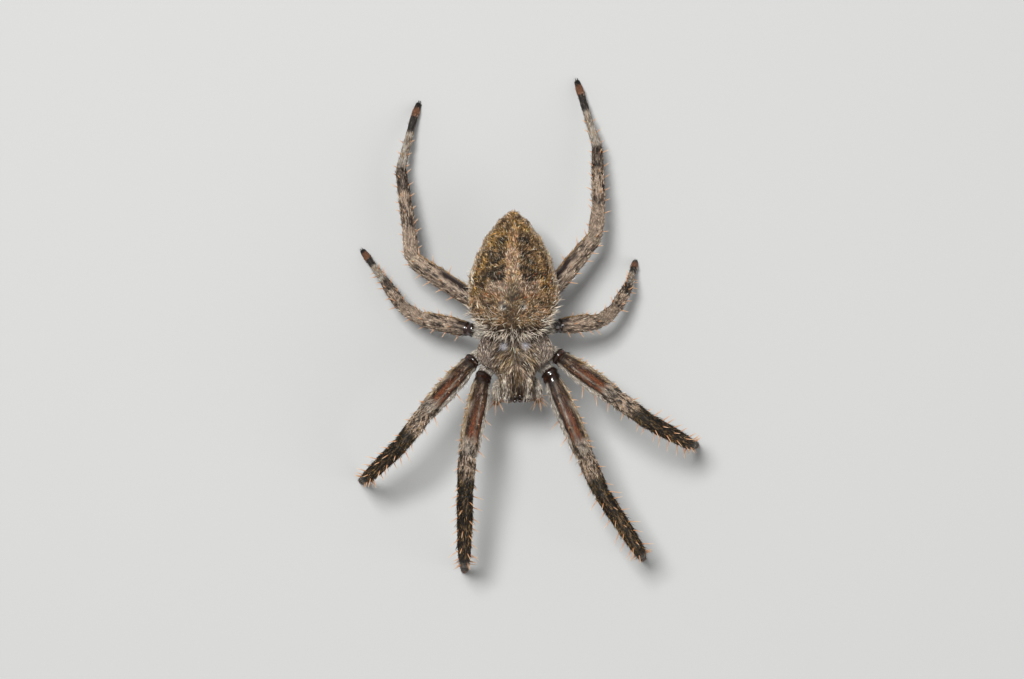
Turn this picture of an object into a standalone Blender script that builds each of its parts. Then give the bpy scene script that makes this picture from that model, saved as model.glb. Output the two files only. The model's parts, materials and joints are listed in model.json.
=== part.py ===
"""Orb weaver spider, a still life-size figure: an adult female with her legs spread.

Row frame: +Z is up, the face looks along -Y, the tail is at +Y and the spider's own left side
is +X. The eight feet rest on the floor at Z = 0. Lengths are written in millimetres and become
metres when a mesh is made. Every outline is that of the hair coat, since the coat is part of
the animal's shape.
"""

import math

import bmesh
import bpy
from mathutils import Matrix, Vector
from mathutils.bvhtree import BVHTree

MM = 0.001
GAP = 0.05  # clearance between neighbouring body pieces
UP = Vector((0, 0, 1))
SIDES = {"left": 1, "right": -1}

# Front body (cephalothorax). It is turned a little against the abdomen, about the waist.
FRONT_TURN = math.radians(3)
WAIST = Vector((0, 2.3, 0))

# Carapace stations: y, half width, top, rim height, underside, roundness of the dome.
CARAPACE = [
    (2.20, 0.60, 7.98, 7.84, 7.72, 2.0),
    (1.95, 1.25, 8.20, 7.88, 7.70, 1.9),
    (1.45, 2.00, 8.62, 7.92, 7.70, 1.8),
    (0.70, 2.62, 9.02, 7.95, 7.70, 1.7),
    (-0.05, 2.95, 9.28, 7.97, 7.70, 1.6),
    (-0.75, 3.00, 9.45, 8.00, 7.70, 1.6),
    (-1.30, 2.60, 9.56, 8.05, 7.70, 1.7),
    (-1.80, 1.90, 9.64, 8.15, 7.74, 1.9),
    (-2.30, 1.52, 9.68, 8.25, 7.90, 2.2),
    (-2.90, 1.38, 9.66, 8.40, 8.06, 2.5),
    (-3.50, 1.26, 9.52, 8.50, 8.06, 2.6),
    (-3.90, 1.10, 9.28, 8.60, 8.08, 2.4),
    (-4.15, 0.88, 9.08, 8.65, 8.16, 2.2),
    (-4.28, 0.56, 8.92, 8.64, 8.30, 2.0),
]

# Eyes: offset from the midline, radius, start and direction of the line that finds the face.
EYES = {
    "eye_front_middle": (0.20, 0.15, (-6.0, 8.88), (0.0, 1.0, 0.0)),
    "eye_rear_middle": (0.20, 0.13, (-3.86, 12.0), (0.0, 0.0, -1.0)),
    "eye_front_side": (0.82, 0.11, (-6.0, 8.74), (0.0, 1.0, 0.0)),
    "eye_rear_side": (0.96, 0.11, (-3.72, 12.0), (0.0, 0.0, -1.0)),
}
EYE_SINK = 0.35  # part of the radius by which an eye's centre lies under the surface

# Abdomen: an egg shape hung on a sloping chord from the tail to the overhanging front.
TAIL = Vector((0, 10.30, 6.60))
FRONT = Vector((0, 0.62, 10.10))
ABDOMEN_WIDTH = (3.50, 0.66, 0.75, 0.386)  # half width, place of it, tail and front bluntness
ABDOMEN_TOP = (2.45, 0.62, 0.80, 0.49)
ABDOMEN_DEPTH = (3.25, 0.50, 1.20, 1.20)
ABDOMEN_SECTIONS = 18
ABDOMEN_POINTS = 22

# Sternum block under the carapace, and the mouthparts in front of it.
STERNUM = (0.40, 1.50, 1.05, 5.95, 7.65)  # centre y, half length, half width, bottom, top
MOUTH = (-2.15, 0.85, 0.72, 6.00, 7.60)

# Legs, front pair first. Segment lengths: femur, patella, tibia, metatarsus, tarsus.
SEGMENTS = {
    1: (7.2, 3.0, 5.4, 5.6, 1.9),
    2: (6.4, 2.9, 4.9, 5.1, 1.8),
    3: (4.8, 2.0, 2.7, 2.7, 1.2),
    4: (7.2, 2.5, 4.8, 4.7, 1.45),
}
LEG_SIZE = {("left", 3): 0.88}  # this leg is a little smaller than its twin
GIRTH = {1: 1.0, 2: 0.97, 3: 0.80, 4: 0.86}
LEAST_FOOT_GIRTH = 0.95  # the feet taper less from pair to pair
COXA_START = {1: (0.95, -0.85), 2: (1.25, -0.12), 3: (1.20, 0.80), 4: (0.72, 1.68)}
COXA_END = {1: (2.45, -2.00, 7.0), 2: (3.13, -0.90, 7.0), 3: (2.90, 1.25, 6.75), 4: (1.90, 2.75, 6.38)}
COXA_START_Z = 6.48

# Radii along a leg piece as (part of its length, radius in mm for leg I).
COXA_R = [(0.0, 0.36), (0.45, 0.52), (0.80, 0.60), (1.0, 0.60)]
FEMUR_R = [(0.0, 0.60), (0.12, 0.68), (0.35, 0.82), (0.65, 0.83), (0.90, 0.75), (1.0, 0.66)]
PATELLA_R = [(0.0, 0.66), (0.35, 0.69), (1.0, 0.61)]
TIBIA_R = [(0.25, 0.63), (0.60, 0.60), (1.0, 0.50)]
METATARSUS_R = [(0.0, 0.50), (0.15, 0.44), (0.60, 0.37), (1.0, 0.35)]
TARSUS_R = [(0.0, 0.35), (0.35, 0.34), (1.0, 0.27)]
LEG_POINTS = 10

# Way each piece points, as (degrees outward from straight back, degrees above level), for femur,
# patella, tibia, metatarsus and tarsus. The last two slopes are found from the floor; the number
# in their place is how much steeper the tarsus is than the metatarsus.
POSE = {
    ("right", 1): ((169, 29), (176, -22), (179, -22), 177, 177, 0),
    ("left", 1): ((157, 11), (156, -6), (147, -7), 152, 154, 0),
    ("right", 2): ((138, 31), (143, -5), (134, -41), 128, 126, 0),
    ("left", 2): ((126, 30), (126, -2), (119, -42), 111, 109, 0),
    ("right", 3): ((78, -27), (58, -28), (35, -28), 37, 36, 4),
    ("left", 3): ((84, -27), (50, -30), (31, -30), 18, 16, 5),
    ("right", 4): ((56, -14), (7, -14), (8, -14), -13, -18, 9),
    ("left", 4): ((39, -13), (7, -17), (-1, -17), -16, -16, 10),
}

# Jaws and feelers, given for the left side.
CHELICERA = [((0.64, -3.62, 7.99), 0.56), ((0.66, -3.74, 7.2), 0.59), ((0.62, -3.80, 6.3), 0.50),
             ((0.46, -3.76, 5.3), 0.30)]
PALP = [((1.14, -2.62, 6.60), 0.30), ((1.56, -3.05, 7.30), 0.35), ((1.60, -4.03, 7.20), 0.35),
        ((1.54, -4.32, 5.80), 0.26)]

COLOURS = {
    "carapace": (0.30, 0.25, 0.21),
    "sternum": (0.05, 0.035, 0.025),
    "mouthparts": (0.10, 0.06, 0.04),
    "waist": (0.12, 0.08, 0.06),
    "abdomen": (0.36, 0.26, 0.17),
    "spinnerets": (0.12, 0.08, 0.06),
    "eye": (0.012, 0.010, 0.010),
    "chelicera": (0.10, 0.06, 0.04),
    "palp": (0.34, 0.22, 0.14),
    "coxa": (0.06, 0.035, 0.025),
    "femur": (0.33, 0.24, 0.19),
    "shin": (0.20, 0.13, 0.09),
    "metatarsus": (0.38, 0.29, 0.22),
    "tarsus": (0.25, 0.15, 0.10),
}


# ---------------------------------------------------------------- scene and meshes

def clear_scene():
    for obj in list(bpy.data.objects):
        bpy.data.objects.remove(obj, do_unlink=True)


def new_collection(name):
    collection = bpy.data.collections.new(name)
    bpy.context.scene.collection.children.link(collection)
    return collection


def material(name, colour):
    mat = bpy.data.materials.new(name)
    mat.use_nodes = True
    shader = mat.node_tree.nodes["Principled BSDF"]
    shader.inputs["Base Color"].default_value = (*colour, 1)
    shader.inputs["Roughness"].default_value = 0.8
    mat.diffuse_color = (*colour, 1)
    return mat


def loft(rings):
    """Closed mesh through rings of equal length, capped at both ends; lengths in millimetres."""
    bm = bmesh.new()
    rows = [[bm.verts.new(Vector(point) * MM) for point in ring] for ring in rings]
    count = len(rows[0])
    for low, high in zip(rows, rows[1:]):
        for i in range(count):
            j = (i + 1) % count
            bm.faces.new((low[i], low[j], high[j], high[i]))
    bm.faces.new(list(reversed(rows[0])))
    bm.faces.new(rows[-1])
    bmesh.ops.recalc_face_normals(bm, faces=bm.faces)
    return bm


def make_node(bm, name, colour_name, collection):
    mesh = bpy.data.meshes.new(name)
    bm.to_mesh(mesh)
    bm.free()
    obj = bpy.data.objects.new(name, mesh)
    mesh.materials.append(material(name, COLOURS[colour_name]))
    collection.objects.link(obj)
    return obj


def make_cutter(bm, name, collection):
    obj = make_node(bm, name, "sternum", collection)
    obj.hide_render = True
    obj.display_type = "WIRE"
    return obj


def boolean(obj, other, operation):
    cut = obj.modifiers.new(operation.lower() + "_" + other.name, "BOOLEAN")
    cut.operation = operation
    cut.object = other
    cut.solver = "EXACT"


# ---------------------------------------------------------------- sections

def power(value, exponent):
    return math.copysign(abs(value) ** exponent, value)


def section(centre, half_width, height, depth, roundness, count):
    """Upright egg-like ring: `height` above and `depth` below its widest line."""
    ring = []
    for i in range(count):
        angle = 2 * math.pi * i / count
        x = half_width * power(math.cos(angle), 2 / roundness)
        z = power(math.sin(angle), 2 / roundness)
        ring.append(centre + Vector((x, 0, z * (height if z > 0 else depth))))
    return ring


def bulge(t, shape):
    """Egg profile from 0 at both ends to its full size at a chosen place."""
    size, place, tail_power, front_power = shape
    return size * (t / place) ** tail_power * ((1 - t) / (1 - place)) ** front_power


def turned(point):
    """A point of the front body after its slight turn about the waist."""
    return Matrix.Rotation(FRONT_TURN, 3, "Z") @ (Vector(point) - WAIST) + WAIST


# ---------------------------------------------------------------- body

def carapace_mesh():
    rings = []
    for y, half_width, top, rim, under, roundness in CARAPACE:
        ring = section(Vector((0, y, rim)), half_width, top - rim, rim - under, roundness, 20)
        rings.append([turned(point) for point in ring])
    return loft(rings)


def abdomen_mesh(grow=0.0):
    rings = []
    for i in range(ABDOMEN_SECTIONS + 1):
        t = 0.004 + 0.992 * (1 - math.cos(math.pi * i / ABDOMEN_SECTIONS)) / 2
        centre = TAIL.lerp(FRONT, t)
        end = grow if i == 0 else -grow if i == ABDOMEN_SECTIONS else 0
        centre = centre + Vector((0, end, 0))
        sizes = [bulge(t, shape) + grow for shape in (ABDOMEN_WIDTH, ABDOMEN_TOP, ABDOMEN_DEPTH)]
        rings.append(section(centre, *sizes, 2.1, ABDOMEN_POINTS))
    return loft(rings)


def block_mesh(shape, squareness):
    """Upright oval block with a slightly narrower underside."""
    y, half_length, half_width, bottom, top = shape
    rings = []
    for z, size in ((bottom, 0.80), (bottom + 0.25, 1.0), (top, 1.0)):
        ring = []
        for i in range(16):
            angle = 2 * math.pi * i / 16
            across = half_width * size * power(math.cos(angle), 2 / squareness)
            along = half_length * size * power(math.sin(angle), 2 / squareness)
            ring.append(turned((across, y + along, z)))
        rings.append(ring)
    return loft(rings)


def make_body(parts, cutters):
    carapace = make_node(carapace_mesh(), "carapace", "carapace", parts)
    make_node(block_mesh(STERNUM, 2.5), "sternum", "sternum", parts)
    make_node(block_mesh(MOUTH, 3.0), "mouthparts", "mouthparts", parts)
    make_node(abdomen_mesh(), "abdomen", "abdomen", parts)
    clearance = make_cutter(abdomen_mesh(GAP), "abdomen_clearance", cutters)
    waist = [turned((0, 1.95, 6.95)), Vector((0, 2.6, 7.0)), Vector((0, 3.3, 7.2))]
    make_limb("waist", "waist", waist, [(0, 0.34), (1.0, 0.34)], parts)
    boolean(bpy.data.objects["waist"], clearance, "DIFFERENCE")
    make_spinnerets(parts, cutters, clearance)
    return carapace


def make_spinnerets(parts, cutters, clearance):
    """Short cluster of four cones under the tail, on one common base."""
    base = [Vector((0, 8.35, 5.9)), Vector((0, 8.62, 5.15))]
    make_limb("spinnerets", "spinnerets", base, [(0, 0.72), (1.0, 0.62)], parts)
    cluster = bpy.data.objects["spinnerets"]
    for across, along, lean in ((0.3, 8.45, 0.1), (-0.3, 8.45, 0.1), (0.24, 8.9, 0.45), (-0.24, 8.9, 0.45)):
        cone = [Vector((across, along, 5.45)), Vector((across * 0.8, along + lean, 4.62))]
        name = f"spinneret_{'a' if across > 0 else 'b'}{'1' if lean < 0.2 else '2'}"
        make_limb(name, "spinnerets", cone, [(0, 0.34), (1.0, 0.17)], cutters)
        helper = bpy.data.objects[name]
        helper.hide_render = True
        helper.display_type = "WIRE"
        boolean(cluster, helper, "UNION")
    boolean(cluster, clearance, "DIFFERENCE")


def make_eyes(carapace, parts, cutters):
    """Eight bead eyes in sockets, found by a line drawn on to the head at each place."""
    bm = carapace_mesh()
    bmesh.ops.triangulate(bm, faces=bm.faces)
    head = BVHTree.FromBMesh(bm)
    bm.free()
    turn = Matrix.Rotation(FRONT_TURN, 3, "Z")
    for name, (across, radius, (start_y, start_z), way) in EYES.items():
        for side, sign in SIDES.items():
            start = turned((sign * across, start_y, start_z)) * MM
            hit, normal, _, _ = head.ray_cast(start, turn @ Vector(way))
            centre = hit - normal * radius * EYE_SINK * MM
            make_node(ball(centre, radius), f"{name}_{side}", "eye", parts)
            socket = make_cutter(ball(centre, radius + GAP / 2), f"socket_{name}_{side}", cutters)
            boolean(carapace, socket, "DIFFERENCE")


def ball(centre, radius):
    bm = bmesh.new()
    bmesh.ops.create_icosphere(bm, subdivisions=2, radius=radius * MM, matrix=Matrix.Translation(centre))
    return bm


# ---------------------------------------------------------------- limbs

def ring_on_plane(centre, radius, way, across, above, plane_point, plane_normal):
    """Ring round an axis, slid along the axis until it lies on a plane."""
    ring = []
    for i in range(LEG_POINTS):
        angle = 2 * math.pi * (i + 0.5) / LEG_POINTS
        point = centre + radius * (math.cos(angle) * across + math.sin(angle) * above)
        slide = (plane_point - point).dot(plane_normal) / way.dot(plane_normal)
        ring.append(point + way * slide)
    return ring


def radius_at(profile, t):
    for (t0, r0), (t1, r1) in zip(profile, profile[1:]):
        if t <= t1:
            return r0 + (r1 - r0) * max(t - t0, 0) / (t1 - t0)
    return profile[-1][1]


def make_limb(name, colour_name, path, profile, collection, start_normal=None, end_normal=None):
    """Tube along a bent path. The end planes are those it shares with its neighbours."""
    ways = [(b - a).normalized() for a, b in zip(path, path[1:])]
    lengths = [(b - a).length for a, b in zip(path, path[1:])]
    total = sum(lengths)
    across = ways[0].cross(UP).normalized()
    rings = []
    done = 0.0
    for i, way in enumerate(ways):
        across = (across - way * across.dot(way)).normalized()
        above = across.cross(way)
        first = start_normal or way if i == 0 else (ways[i - 1] + way).normalized()
        if i == 0:
            point = path[0] + way * (GAP / 2)
            rings.append(ring_on_plane(point, profile[0][1], way, across, above, point, first))
        inside = [t for t, _ in profile if done < t * total < done + lengths[i] - 0.01]
        for t in inside:
            point = path[i] + way * (t * total - done)
            rings.append(ring_on_plane(point, radius_at(profile, t), way, across, above, point, way))
        done += lengths[i]
        last = i == len(ways) - 1
        shared = last and end_normal and end_normal != -UP
        point = path[i + 1] - (way * (GAP / 2) if shared else Vector())
        normal = (end_normal or way) if last else (way + ways[i + 1]).normalized()
        radius = radius_at(profile, done / total)
        rings.append(ring_on_plane(point, radius, way, across, above, point, normal))
    return make_node(loft(rings), name, colour_name, collection)


def direction(side, degrees_out, slope):
    """Unit vector from an angle outward from straight back and a slope above level."""
    out, rise = math.radians(degrees_out), math.radians(slope)
    flat = Vector((SIDES[side] * math.sin(out), math.cos(out), 0))
    return flat * math.cos(rise) + UP * math.sin(rise)


def floor_slope(height, metatarsus, tarsus, steeper):
    """Metatarsus slope that brings the foot down by `height`, found by halving."""
    low, high = 0.0, 89.0 - steeper
    for _ in range(40):
        middle = (low + high) / 2
        drop = metatarsus * math.sin(math.radians(middle))
        drop += tarsus * math.sin(math.radians(middle + steeper))
        low, high = (middle, high) if drop < height else (low, middle)
    return low


def leg_joints(side, number):
    """Joint centres from the end of the coxa to the foot, and where the coxa starts."""
    size = LEG_SIZE.get((side, number), 1.0)
    lengths = [size * length for length in SEGMENTS[number]]
    femur, patella, tibia, metatarsus_out, tarsus_out, steeper = POSE[side, number]
    x, y, z = COXA_END[number]
    joints = [turned((SIDES[side] * x, y, z))]
    for length, (out, slope) in zip(lengths, (femur, patella, tibia)):
        joints.append(joints[-1] + direction(side, out, slope) * length)
    slope = floor_slope(joints[-1].z, lengths[3], lengths[4], steeper)
    joints.append(joints[-1] + direction(side, metatarsus_out, -slope) * lengths[3])
    joints.append(joints[-1] + direction(side, tarsus_out, -slope - steeper) * lengths[4])
    joints[-1].z = 0.0
    x, y = COXA_START[number]
    return turned((SIDES[side] * x, y, COXA_START_Z)), joints


def scaled(profile, girth):
    return [(t, radius * girth) for t, radius in profile]


def patella_tibia_profile(patella, tibia, girth):
    total = patella + tibia
    profile = [(t * patella / total, radius) for t, radius in PATELLA_R]
    profile += [((patella + t * tibia) / total, radius) for t, radius in TIBIA_R]
    return scaled(profile, girth)


def bisector(a, b, c):
    return ((b - a).normalized() + (c - b).normalized()).normalized()


def make_leg(side, number, parts):
    start, joints = leg_joints(side, number)
    hip, knee, shin, ankle, heel, foot = joints
    girth = GIRTH[number]
    tag = f"{side}_{number}"
    at_hip = bisector(start, hip, knee)
    at_knee = bisector(hip, knee, shin)
    at_ankle = bisector(shin, ankle, heel)
    at_heel = bisector(ankle, heel, foot)
    make_limb(f"coxa_{tag}", "coxa", [start, hip], scaled(COXA_R, 1.0), parts, None, at_hip)
    make_limb(f"femur_{tag}", "femur", [hip, knee], scaled(FEMUR_R, girth), parts, at_hip, at_knee)
    profile = patella_tibia_profile((shin - knee).length, (ankle - shin).length, girth)
    make_limb(f"patella_tibia_{tag}", "shin", [knee, shin, ankle], profile, parts, at_knee, at_ankle)
    profile = scaled(METATARSUS_R, girth)
    make_limb(f"metatarsus_{tag}", "metatarsus", [ankle, heel], profile, parts, at_ankle, at_heel)
    profile = scaled(TARSUS_R, max(girth, LEAST_FOOT_GIRTH))
    make_limb(f"tarsus_{tag}", "tarsus", [heel, foot], profile, parts, at_heel, -UP)


def mirrored(path, side):
    return [turned((SIDES[side] * x, y, z)) for (x, y, z), _ in path]


def make_jaws_and_feelers(parts):
    for side in SIDES:
        for name, shape in (("chelicera", CHELICERA), ("palp", PALP)):
            path = mirrored(shape, side)
            steps = [(b - a).length for a, b in zip(path, path[1:])]
            places = [sum(steps[:i]) / sum(steps) for i in range(len(path))]
            profile = [(place, radius) for place, (_, radius) in zip(places, shape)]
            make_limb(f"{name}_{side}", name, path, profile, parts)


def set_on_origin(parts, cutters):
    """Hangs everything on one empty, placed so that the middle of the underside is the origin."""
    corners = [vertex.co for obj in parts.objects for vertex in obj.data.vertices]
    spider = bpy.data.objects.new("spider", None)
    bpy.context.scene.collection.objects.link(spider)
    for obj in [*parts.objects, *cutters.objects]:
        obj.parent = spider
    for axis in (0, 1):
        values = [corner[axis] for corner in corners]
        spider.location[axis] = -(min(values) + max(values)) / 2


def build():
    clear_scene()
    parts = new_collection("parts")
    cutters = new_collection("cutters")
    carapace = make_body(parts, cutters)
    make_eyes(carapace, parts, cutters)
    make_jaws_and_feelers(parts)
    for side, number in POSE:
        make_leg(side, number, parts)
    set_on_origin(parts, cutters)


build()
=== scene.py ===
"""Looks of the orb weaver spider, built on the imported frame.

One skin with the markings replaces the flesh nodes and lies inside them by the depth of the coat.
Over it grow closed, tapered hairs that follow the lie of the coat and carry the same markings.
Spines, eyes, jaws, spinnerets and claws are separate pieces.

Shapes are worked out in millimetres in the body's own frame: +Z up, the face looks along -Y and
+X is the spider's left. OFFSET carries them into the row's frame, and meshes are made in metres.
"""

import json
import math

import bpy
import numpy as np
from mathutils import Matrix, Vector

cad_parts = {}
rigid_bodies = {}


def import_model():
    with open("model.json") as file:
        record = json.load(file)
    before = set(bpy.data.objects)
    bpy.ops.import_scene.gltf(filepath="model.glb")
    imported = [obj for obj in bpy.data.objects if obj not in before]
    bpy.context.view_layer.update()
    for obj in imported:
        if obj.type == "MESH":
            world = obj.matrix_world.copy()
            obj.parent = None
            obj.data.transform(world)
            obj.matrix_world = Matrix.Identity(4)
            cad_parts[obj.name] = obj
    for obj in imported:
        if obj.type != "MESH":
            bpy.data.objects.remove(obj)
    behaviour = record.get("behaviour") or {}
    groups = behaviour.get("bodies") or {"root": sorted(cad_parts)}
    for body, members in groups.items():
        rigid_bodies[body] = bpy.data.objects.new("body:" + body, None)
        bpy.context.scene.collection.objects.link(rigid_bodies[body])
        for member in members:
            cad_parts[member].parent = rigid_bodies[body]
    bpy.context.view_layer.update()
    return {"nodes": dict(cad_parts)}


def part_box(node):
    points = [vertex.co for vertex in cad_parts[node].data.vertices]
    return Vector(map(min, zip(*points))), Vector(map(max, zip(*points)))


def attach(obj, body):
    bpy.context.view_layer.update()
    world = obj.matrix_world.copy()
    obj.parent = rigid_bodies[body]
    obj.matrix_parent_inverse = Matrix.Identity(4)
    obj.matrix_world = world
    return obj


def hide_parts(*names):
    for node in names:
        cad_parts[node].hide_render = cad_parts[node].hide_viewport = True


MM = 0.001
SEED = 7
UP = np.array([0.0, 0.0, 1.0])
SIDES = {"left": 1, "right": -1}

# ------------------------------------------------------------ sizes, as in the solids (mm)

FRONT_TURN = math.radians(3)
WAIST = np.array([0.0, 2.3, 0.0])

# Carapace stations: y, half width, top, rim height, underside, roundness of the dome.
CARAPACE = (
    (2.20, 0.60, 7.98, 7.84, 7.72, 2.0), (1.95, 1.25, 8.20, 7.88, 7.70, 1.9),
    (1.45, 2.00, 8.62, 7.92, 7.70, 1.8), (0.70, 2.62, 9.02, 7.95, 7.70, 1.7),
    (-0.05, 2.95, 9.28, 7.97, 7.70, 1.6), (-0.75, 3.00, 9.45, 8.00, 7.70, 1.6),
    (-1.30, 2.60, 9.56, 8.05, 7.70, 1.7), (-1.80, 1.90, 9.64, 8.15, 7.74, 1.9),
    (-2.30, 1.52, 9.68, 8.25, 7.90, 2.2), (-2.90, 1.38, 9.66, 8.40, 8.06, 2.5),
    (-3.50, 1.26, 9.52, 8.50, 8.06, 2.6), (-3.90, 1.10, 9.28, 8.60, 8.08, 2.4),
    (-4.15, 0.88, 9.08, 8.65, 8.16, 2.2), (-4.28, 0.56, 8.92, 8.64, 8.30, 2.0),
)

CARAPACE_ENDS = ((-4.3, -2.0, 2.2), (-4.14, -1.98, 2.1))  # y in the solid, and y of the skin inside it

TAIL = np.array([0.0, 10.30, 6.60])
FRONT = np.array([0.0, 0.62, 10.10])
ABDOMEN_WIDTH = (3.50, 0.66, 0.75, 0.386)  # half width, place of it, tail and front bluntness
ABDOMEN_TOP = (2.45, 0.62, 0.80, 0.49)
ABDOMEN_DEPTH = (3.25, 0.50, 1.20, 1.20)
DIMPLES = ((0.72, 2.96), (1.0, 4.6), (0.8, 6.3))  # across and along the back, in pairs

STERNUM = (0.40, 1.50, 1.05, 5.95, 7.65)  # centre y, half length, half width, bottom, top
MOUTH = (-2.15, 0.85, 0.72, 6.00, 7.60)
BLOCK_SIZE = (0.02, 0.55, 0.80, 0.93, 1.0, 1.0, 0.98, 0.5)  # a block's width from its bottom to its top
BLOCK_HEIGHT = (0.0, 0.02, 0.08, 0.20, 0.36, 0.7, 0.95, 1.0)

COXA, FEMUR, PATELLA, TIBIA, METATARSUS, TARSUS = range(6)
SEGMENTS = {1: (7.2, 3.0, 5.4, 5.6, 1.9), 2: (6.4, 2.9, 4.9, 5.1, 1.8),
            3: (4.8, 2.0, 2.7, 2.7, 1.2), 4: (7.2, 2.5, 4.8, 4.7, 1.45)}
LEG_SIZE = {("left", 3): 0.88}
GIRTH = {1: 1.0, 2: 0.97, 3: 0.80, 4: 0.86}
LEAST_FOOT_GIRTH = 0.95
COXA_START = {1: (0.95, -0.85, 6.48), 2: (1.25, -0.12, 6.48), 3: (1.20, 0.80, 6.48), 4: (0.72, 1.68, 6.48)}
COXA_END = {1: (2.45, -2.00, 7.0), 2: (3.13, -0.90, 7.0), 3: (2.90, 1.25, 6.75), 4: (1.90, 2.75, 6.38)}

# Bearing from the tail and slope of femur, patella and tibia; bearings of metatarsus and tarsus; how
# much steeper the tarsus is than the metatarsus. All in degrees.
POSE = {
    ("right", 1): ((169, 29), (176, -22), (179, -22), 177, 177, 0),
    ("left", 1): ((157, 11), (156, -6), (147, -7), 152, 154, 0),
    ("right", 2): ((138, 31), (143, -5), (134, -41), 128, 126, 0),
    ("left", 2): ((126, 30), (126, -2), (119, -42), 111, 109, 0),
    ("right", 3): ((78, -27), (58, -28), (35, -28), 37, 36, 4),
    ("left", 3): ((84, -27), (50, -30), (31, -30), 18, 16, 5),
    ("right", 4): ((56, -14), (7, -14), (8, -14), -13, -18, 9),
    ("left", 4): ((39, -13), (7, -17), (-1, -17), -16, -16, 10),
}

# Solid radii along each leg piece: places as parts of its length, then radii for leg I.
LEG_RADII = {
    COXA: ((0.0, 0.45, 0.80, 1.0), (0.36, 0.52, 0.60, 0.60)),
    FEMUR: ((0.0, 0.12, 0.35, 0.65, 0.90, 1.0), (0.60, 0.68, 0.82, 0.83, 0.75, 0.66)),
    PATELLA: ((0.0, 0.35, 1.0), (0.66, 0.69, 0.62)),
    TIBIA: ((0.0, 0.25, 0.60, 1.0), (0.62, 0.63, 0.60, 0.50)),
    METATARSUS: ((0.0, 0.15, 0.60, 1.0), (0.50, 0.44, 0.37, 0.35)),
    TARSUS: ((0.0, 0.35, 1.0), (0.35, 0.34, 0.27)),
}
PINCH_START = (0.0, 0.22, 0.10, 0.08, 0.12, 0.10)  # how much each piece narrows at its ends, coxa to tarsus
PINCH_END = (0.10, 0.12, 0.08, 0.12, 0.10, 0.0)
LEG_COAT = (0.09, 0.03, 0.05, 0.06, 0.045, 0.04)  # how far the skin lies inside the solids
BODY_COAT = 0.20
FRONT_COAT = 0.14
BLOCK_COAT = 0.03
PALP_COAT = 0.07
SKIN_PAINTED_SHADE = 0.34  # painted shade under the hair: how light the skin is kept beside the hair over it

CHELICERA = ((0.64, -3.62, 7.99), (0.66, -3.74, 7.2), (0.62, -3.80, 6.3), (0.46, -3.76, 5.3))
CHELICERA_RADII = (0.56, 0.59, 0.50, 0.30)
FANG = ((0.56, -3.98, 5.50), (0.50, -4.04, 5.28), (0.34, -3.98, 5.20), (0.16, -3.84, 5.26))
PALP = ((1.14, -2.62, 6.60), (1.56, -3.05, 7.30), (1.60, -4.03, 7.20), (1.54, -4.32, 5.80))
PALP_RADII = (0.30, 0.35, 0.35, 0.26)

# Part of the unwrap, from 0 to 1, that each surface has: least u and v, then greatest u and v.
BOXES = {
    "abdomen": (0.0, 0.0, 0.5, 0.5), "carapace": (0.5, 0.0, 1.0, 0.35),
    "palp_left": (0.5, 0.36, 0.62, 0.49), "palp_right": (0.64, 0.36, 0.76, 0.49),
    "waist": (0.78, 0.36, 0.86, 0.49), "sternum": (0.88, 0.36, 0.93, 0.49),
    "mouthparts": (0.94, 0.36, 0.99, 0.49),
    "chelicera_shell_left": (0.0, 0.0, 0.48, 1.0), "chelicera_shell_right": (0.5, 0.0, 0.98, 1.0),
}
for order, (leg_side, leg_number) in enumerate(POSE):
    BOXES[f"leg_{leg_side}_{leg_number}"] = (0.125 * order, 0.5, 0.125 * (order + 1), 0.96)
for order in range(4):
    BOXES[f"spinneret_{order + 1}"] = (0.83, 0.1 + 0.2 * order, 0.97, 0.26 + 0.2 * order)


# ------------------------------------------------------------ colours

def srgb(red, green, blue):
    """A colour named by its usual 0 to 255 numbers, as linear light."""
    value = np.array([red, green, blue]) / 255
    return np.where(value <= 0.04045, value / 12.92, ((value + 0.055) / 1.055) ** 2.4)


GOLD = srgb(180, 138, 74)
TAN = srgb(184, 148, 104)
BROWN = srgb(96, 68, 40)
ORANGE_BROWN = srgb(158, 118, 78)
ORANGE_SPECK = srgb(190, 92, 46)
ORANGE_PINK = srgb(200, 150, 112)
PINK = srgb(214, 178, 150)
GREY_PINK = srgb(174, 146, 126)
OLIVE_BLACK = srgb(36, 32, 22)
GREY_BROWN = srgb(112, 96, 82)
GREY_MAUVE = srgb(152, 138, 128)
OLIVE_TAN = srgb(146, 122, 88)
OLIVE_BROWN = srgb(74, 58, 38)
OLIVE_GREY = srgb(136, 118, 92)
THIGH_BROWN = srgb(92, 72, 56)
WHITISH = srgb(228, 217, 202)
CREAM = srgb(218, 200, 174)
PALE_GREY = srgb(202, 186, 168)
PALE_PINK = srgb(228, 200, 174)
RUST = srgb(168, 86, 34)
DEEP_RUST = srgb(86, 46, 30)
DARK_BROWN = srgb(44, 30, 21)
BLACK_BROWN = srgb(24, 17, 13)
SHELL = srgb(32, 20, 15)
RIM_ORANGE = srgb(120, 66, 40)
TARSUS_BROWN = srgb(150, 98, 66)
SPINE = srgb(184, 122, 78)
SPINE_TIP = srgb(224, 192, 154)
FRINGE = srgb(216, 200, 180)
BLUE_WHITE = srgb(214, 212, 222)
HEAD_STRAND = srgb(204, 188, 168)


def mix(first, second, share):
    share = np.clip(share, 0, 1)[..., None]
    return first * (1 - share) + second * share


def paint(colour, *layers):
    """Lays each (colour, share) over the ones before it."""
    for over, share in layers:
        colour = mix(colour, over, share)
    return colour


def ramp(value, low, high):
    """0 below low, 1 above high, smooth between. With high under low it runs the other way."""
    t = np.clip((value - low) / (high - low), 0, 1)
    return t * t * (3 - 2 * t)


def span(value, start, full, fade, end):
    """1 from full to fade, and 0 before start and after end."""
    return ramp(value, start, full) * ramp(value, end, fade)


def hill(value, centre, half_width):
    return np.exp(-((value - centre) / half_width) ** 2)


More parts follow.
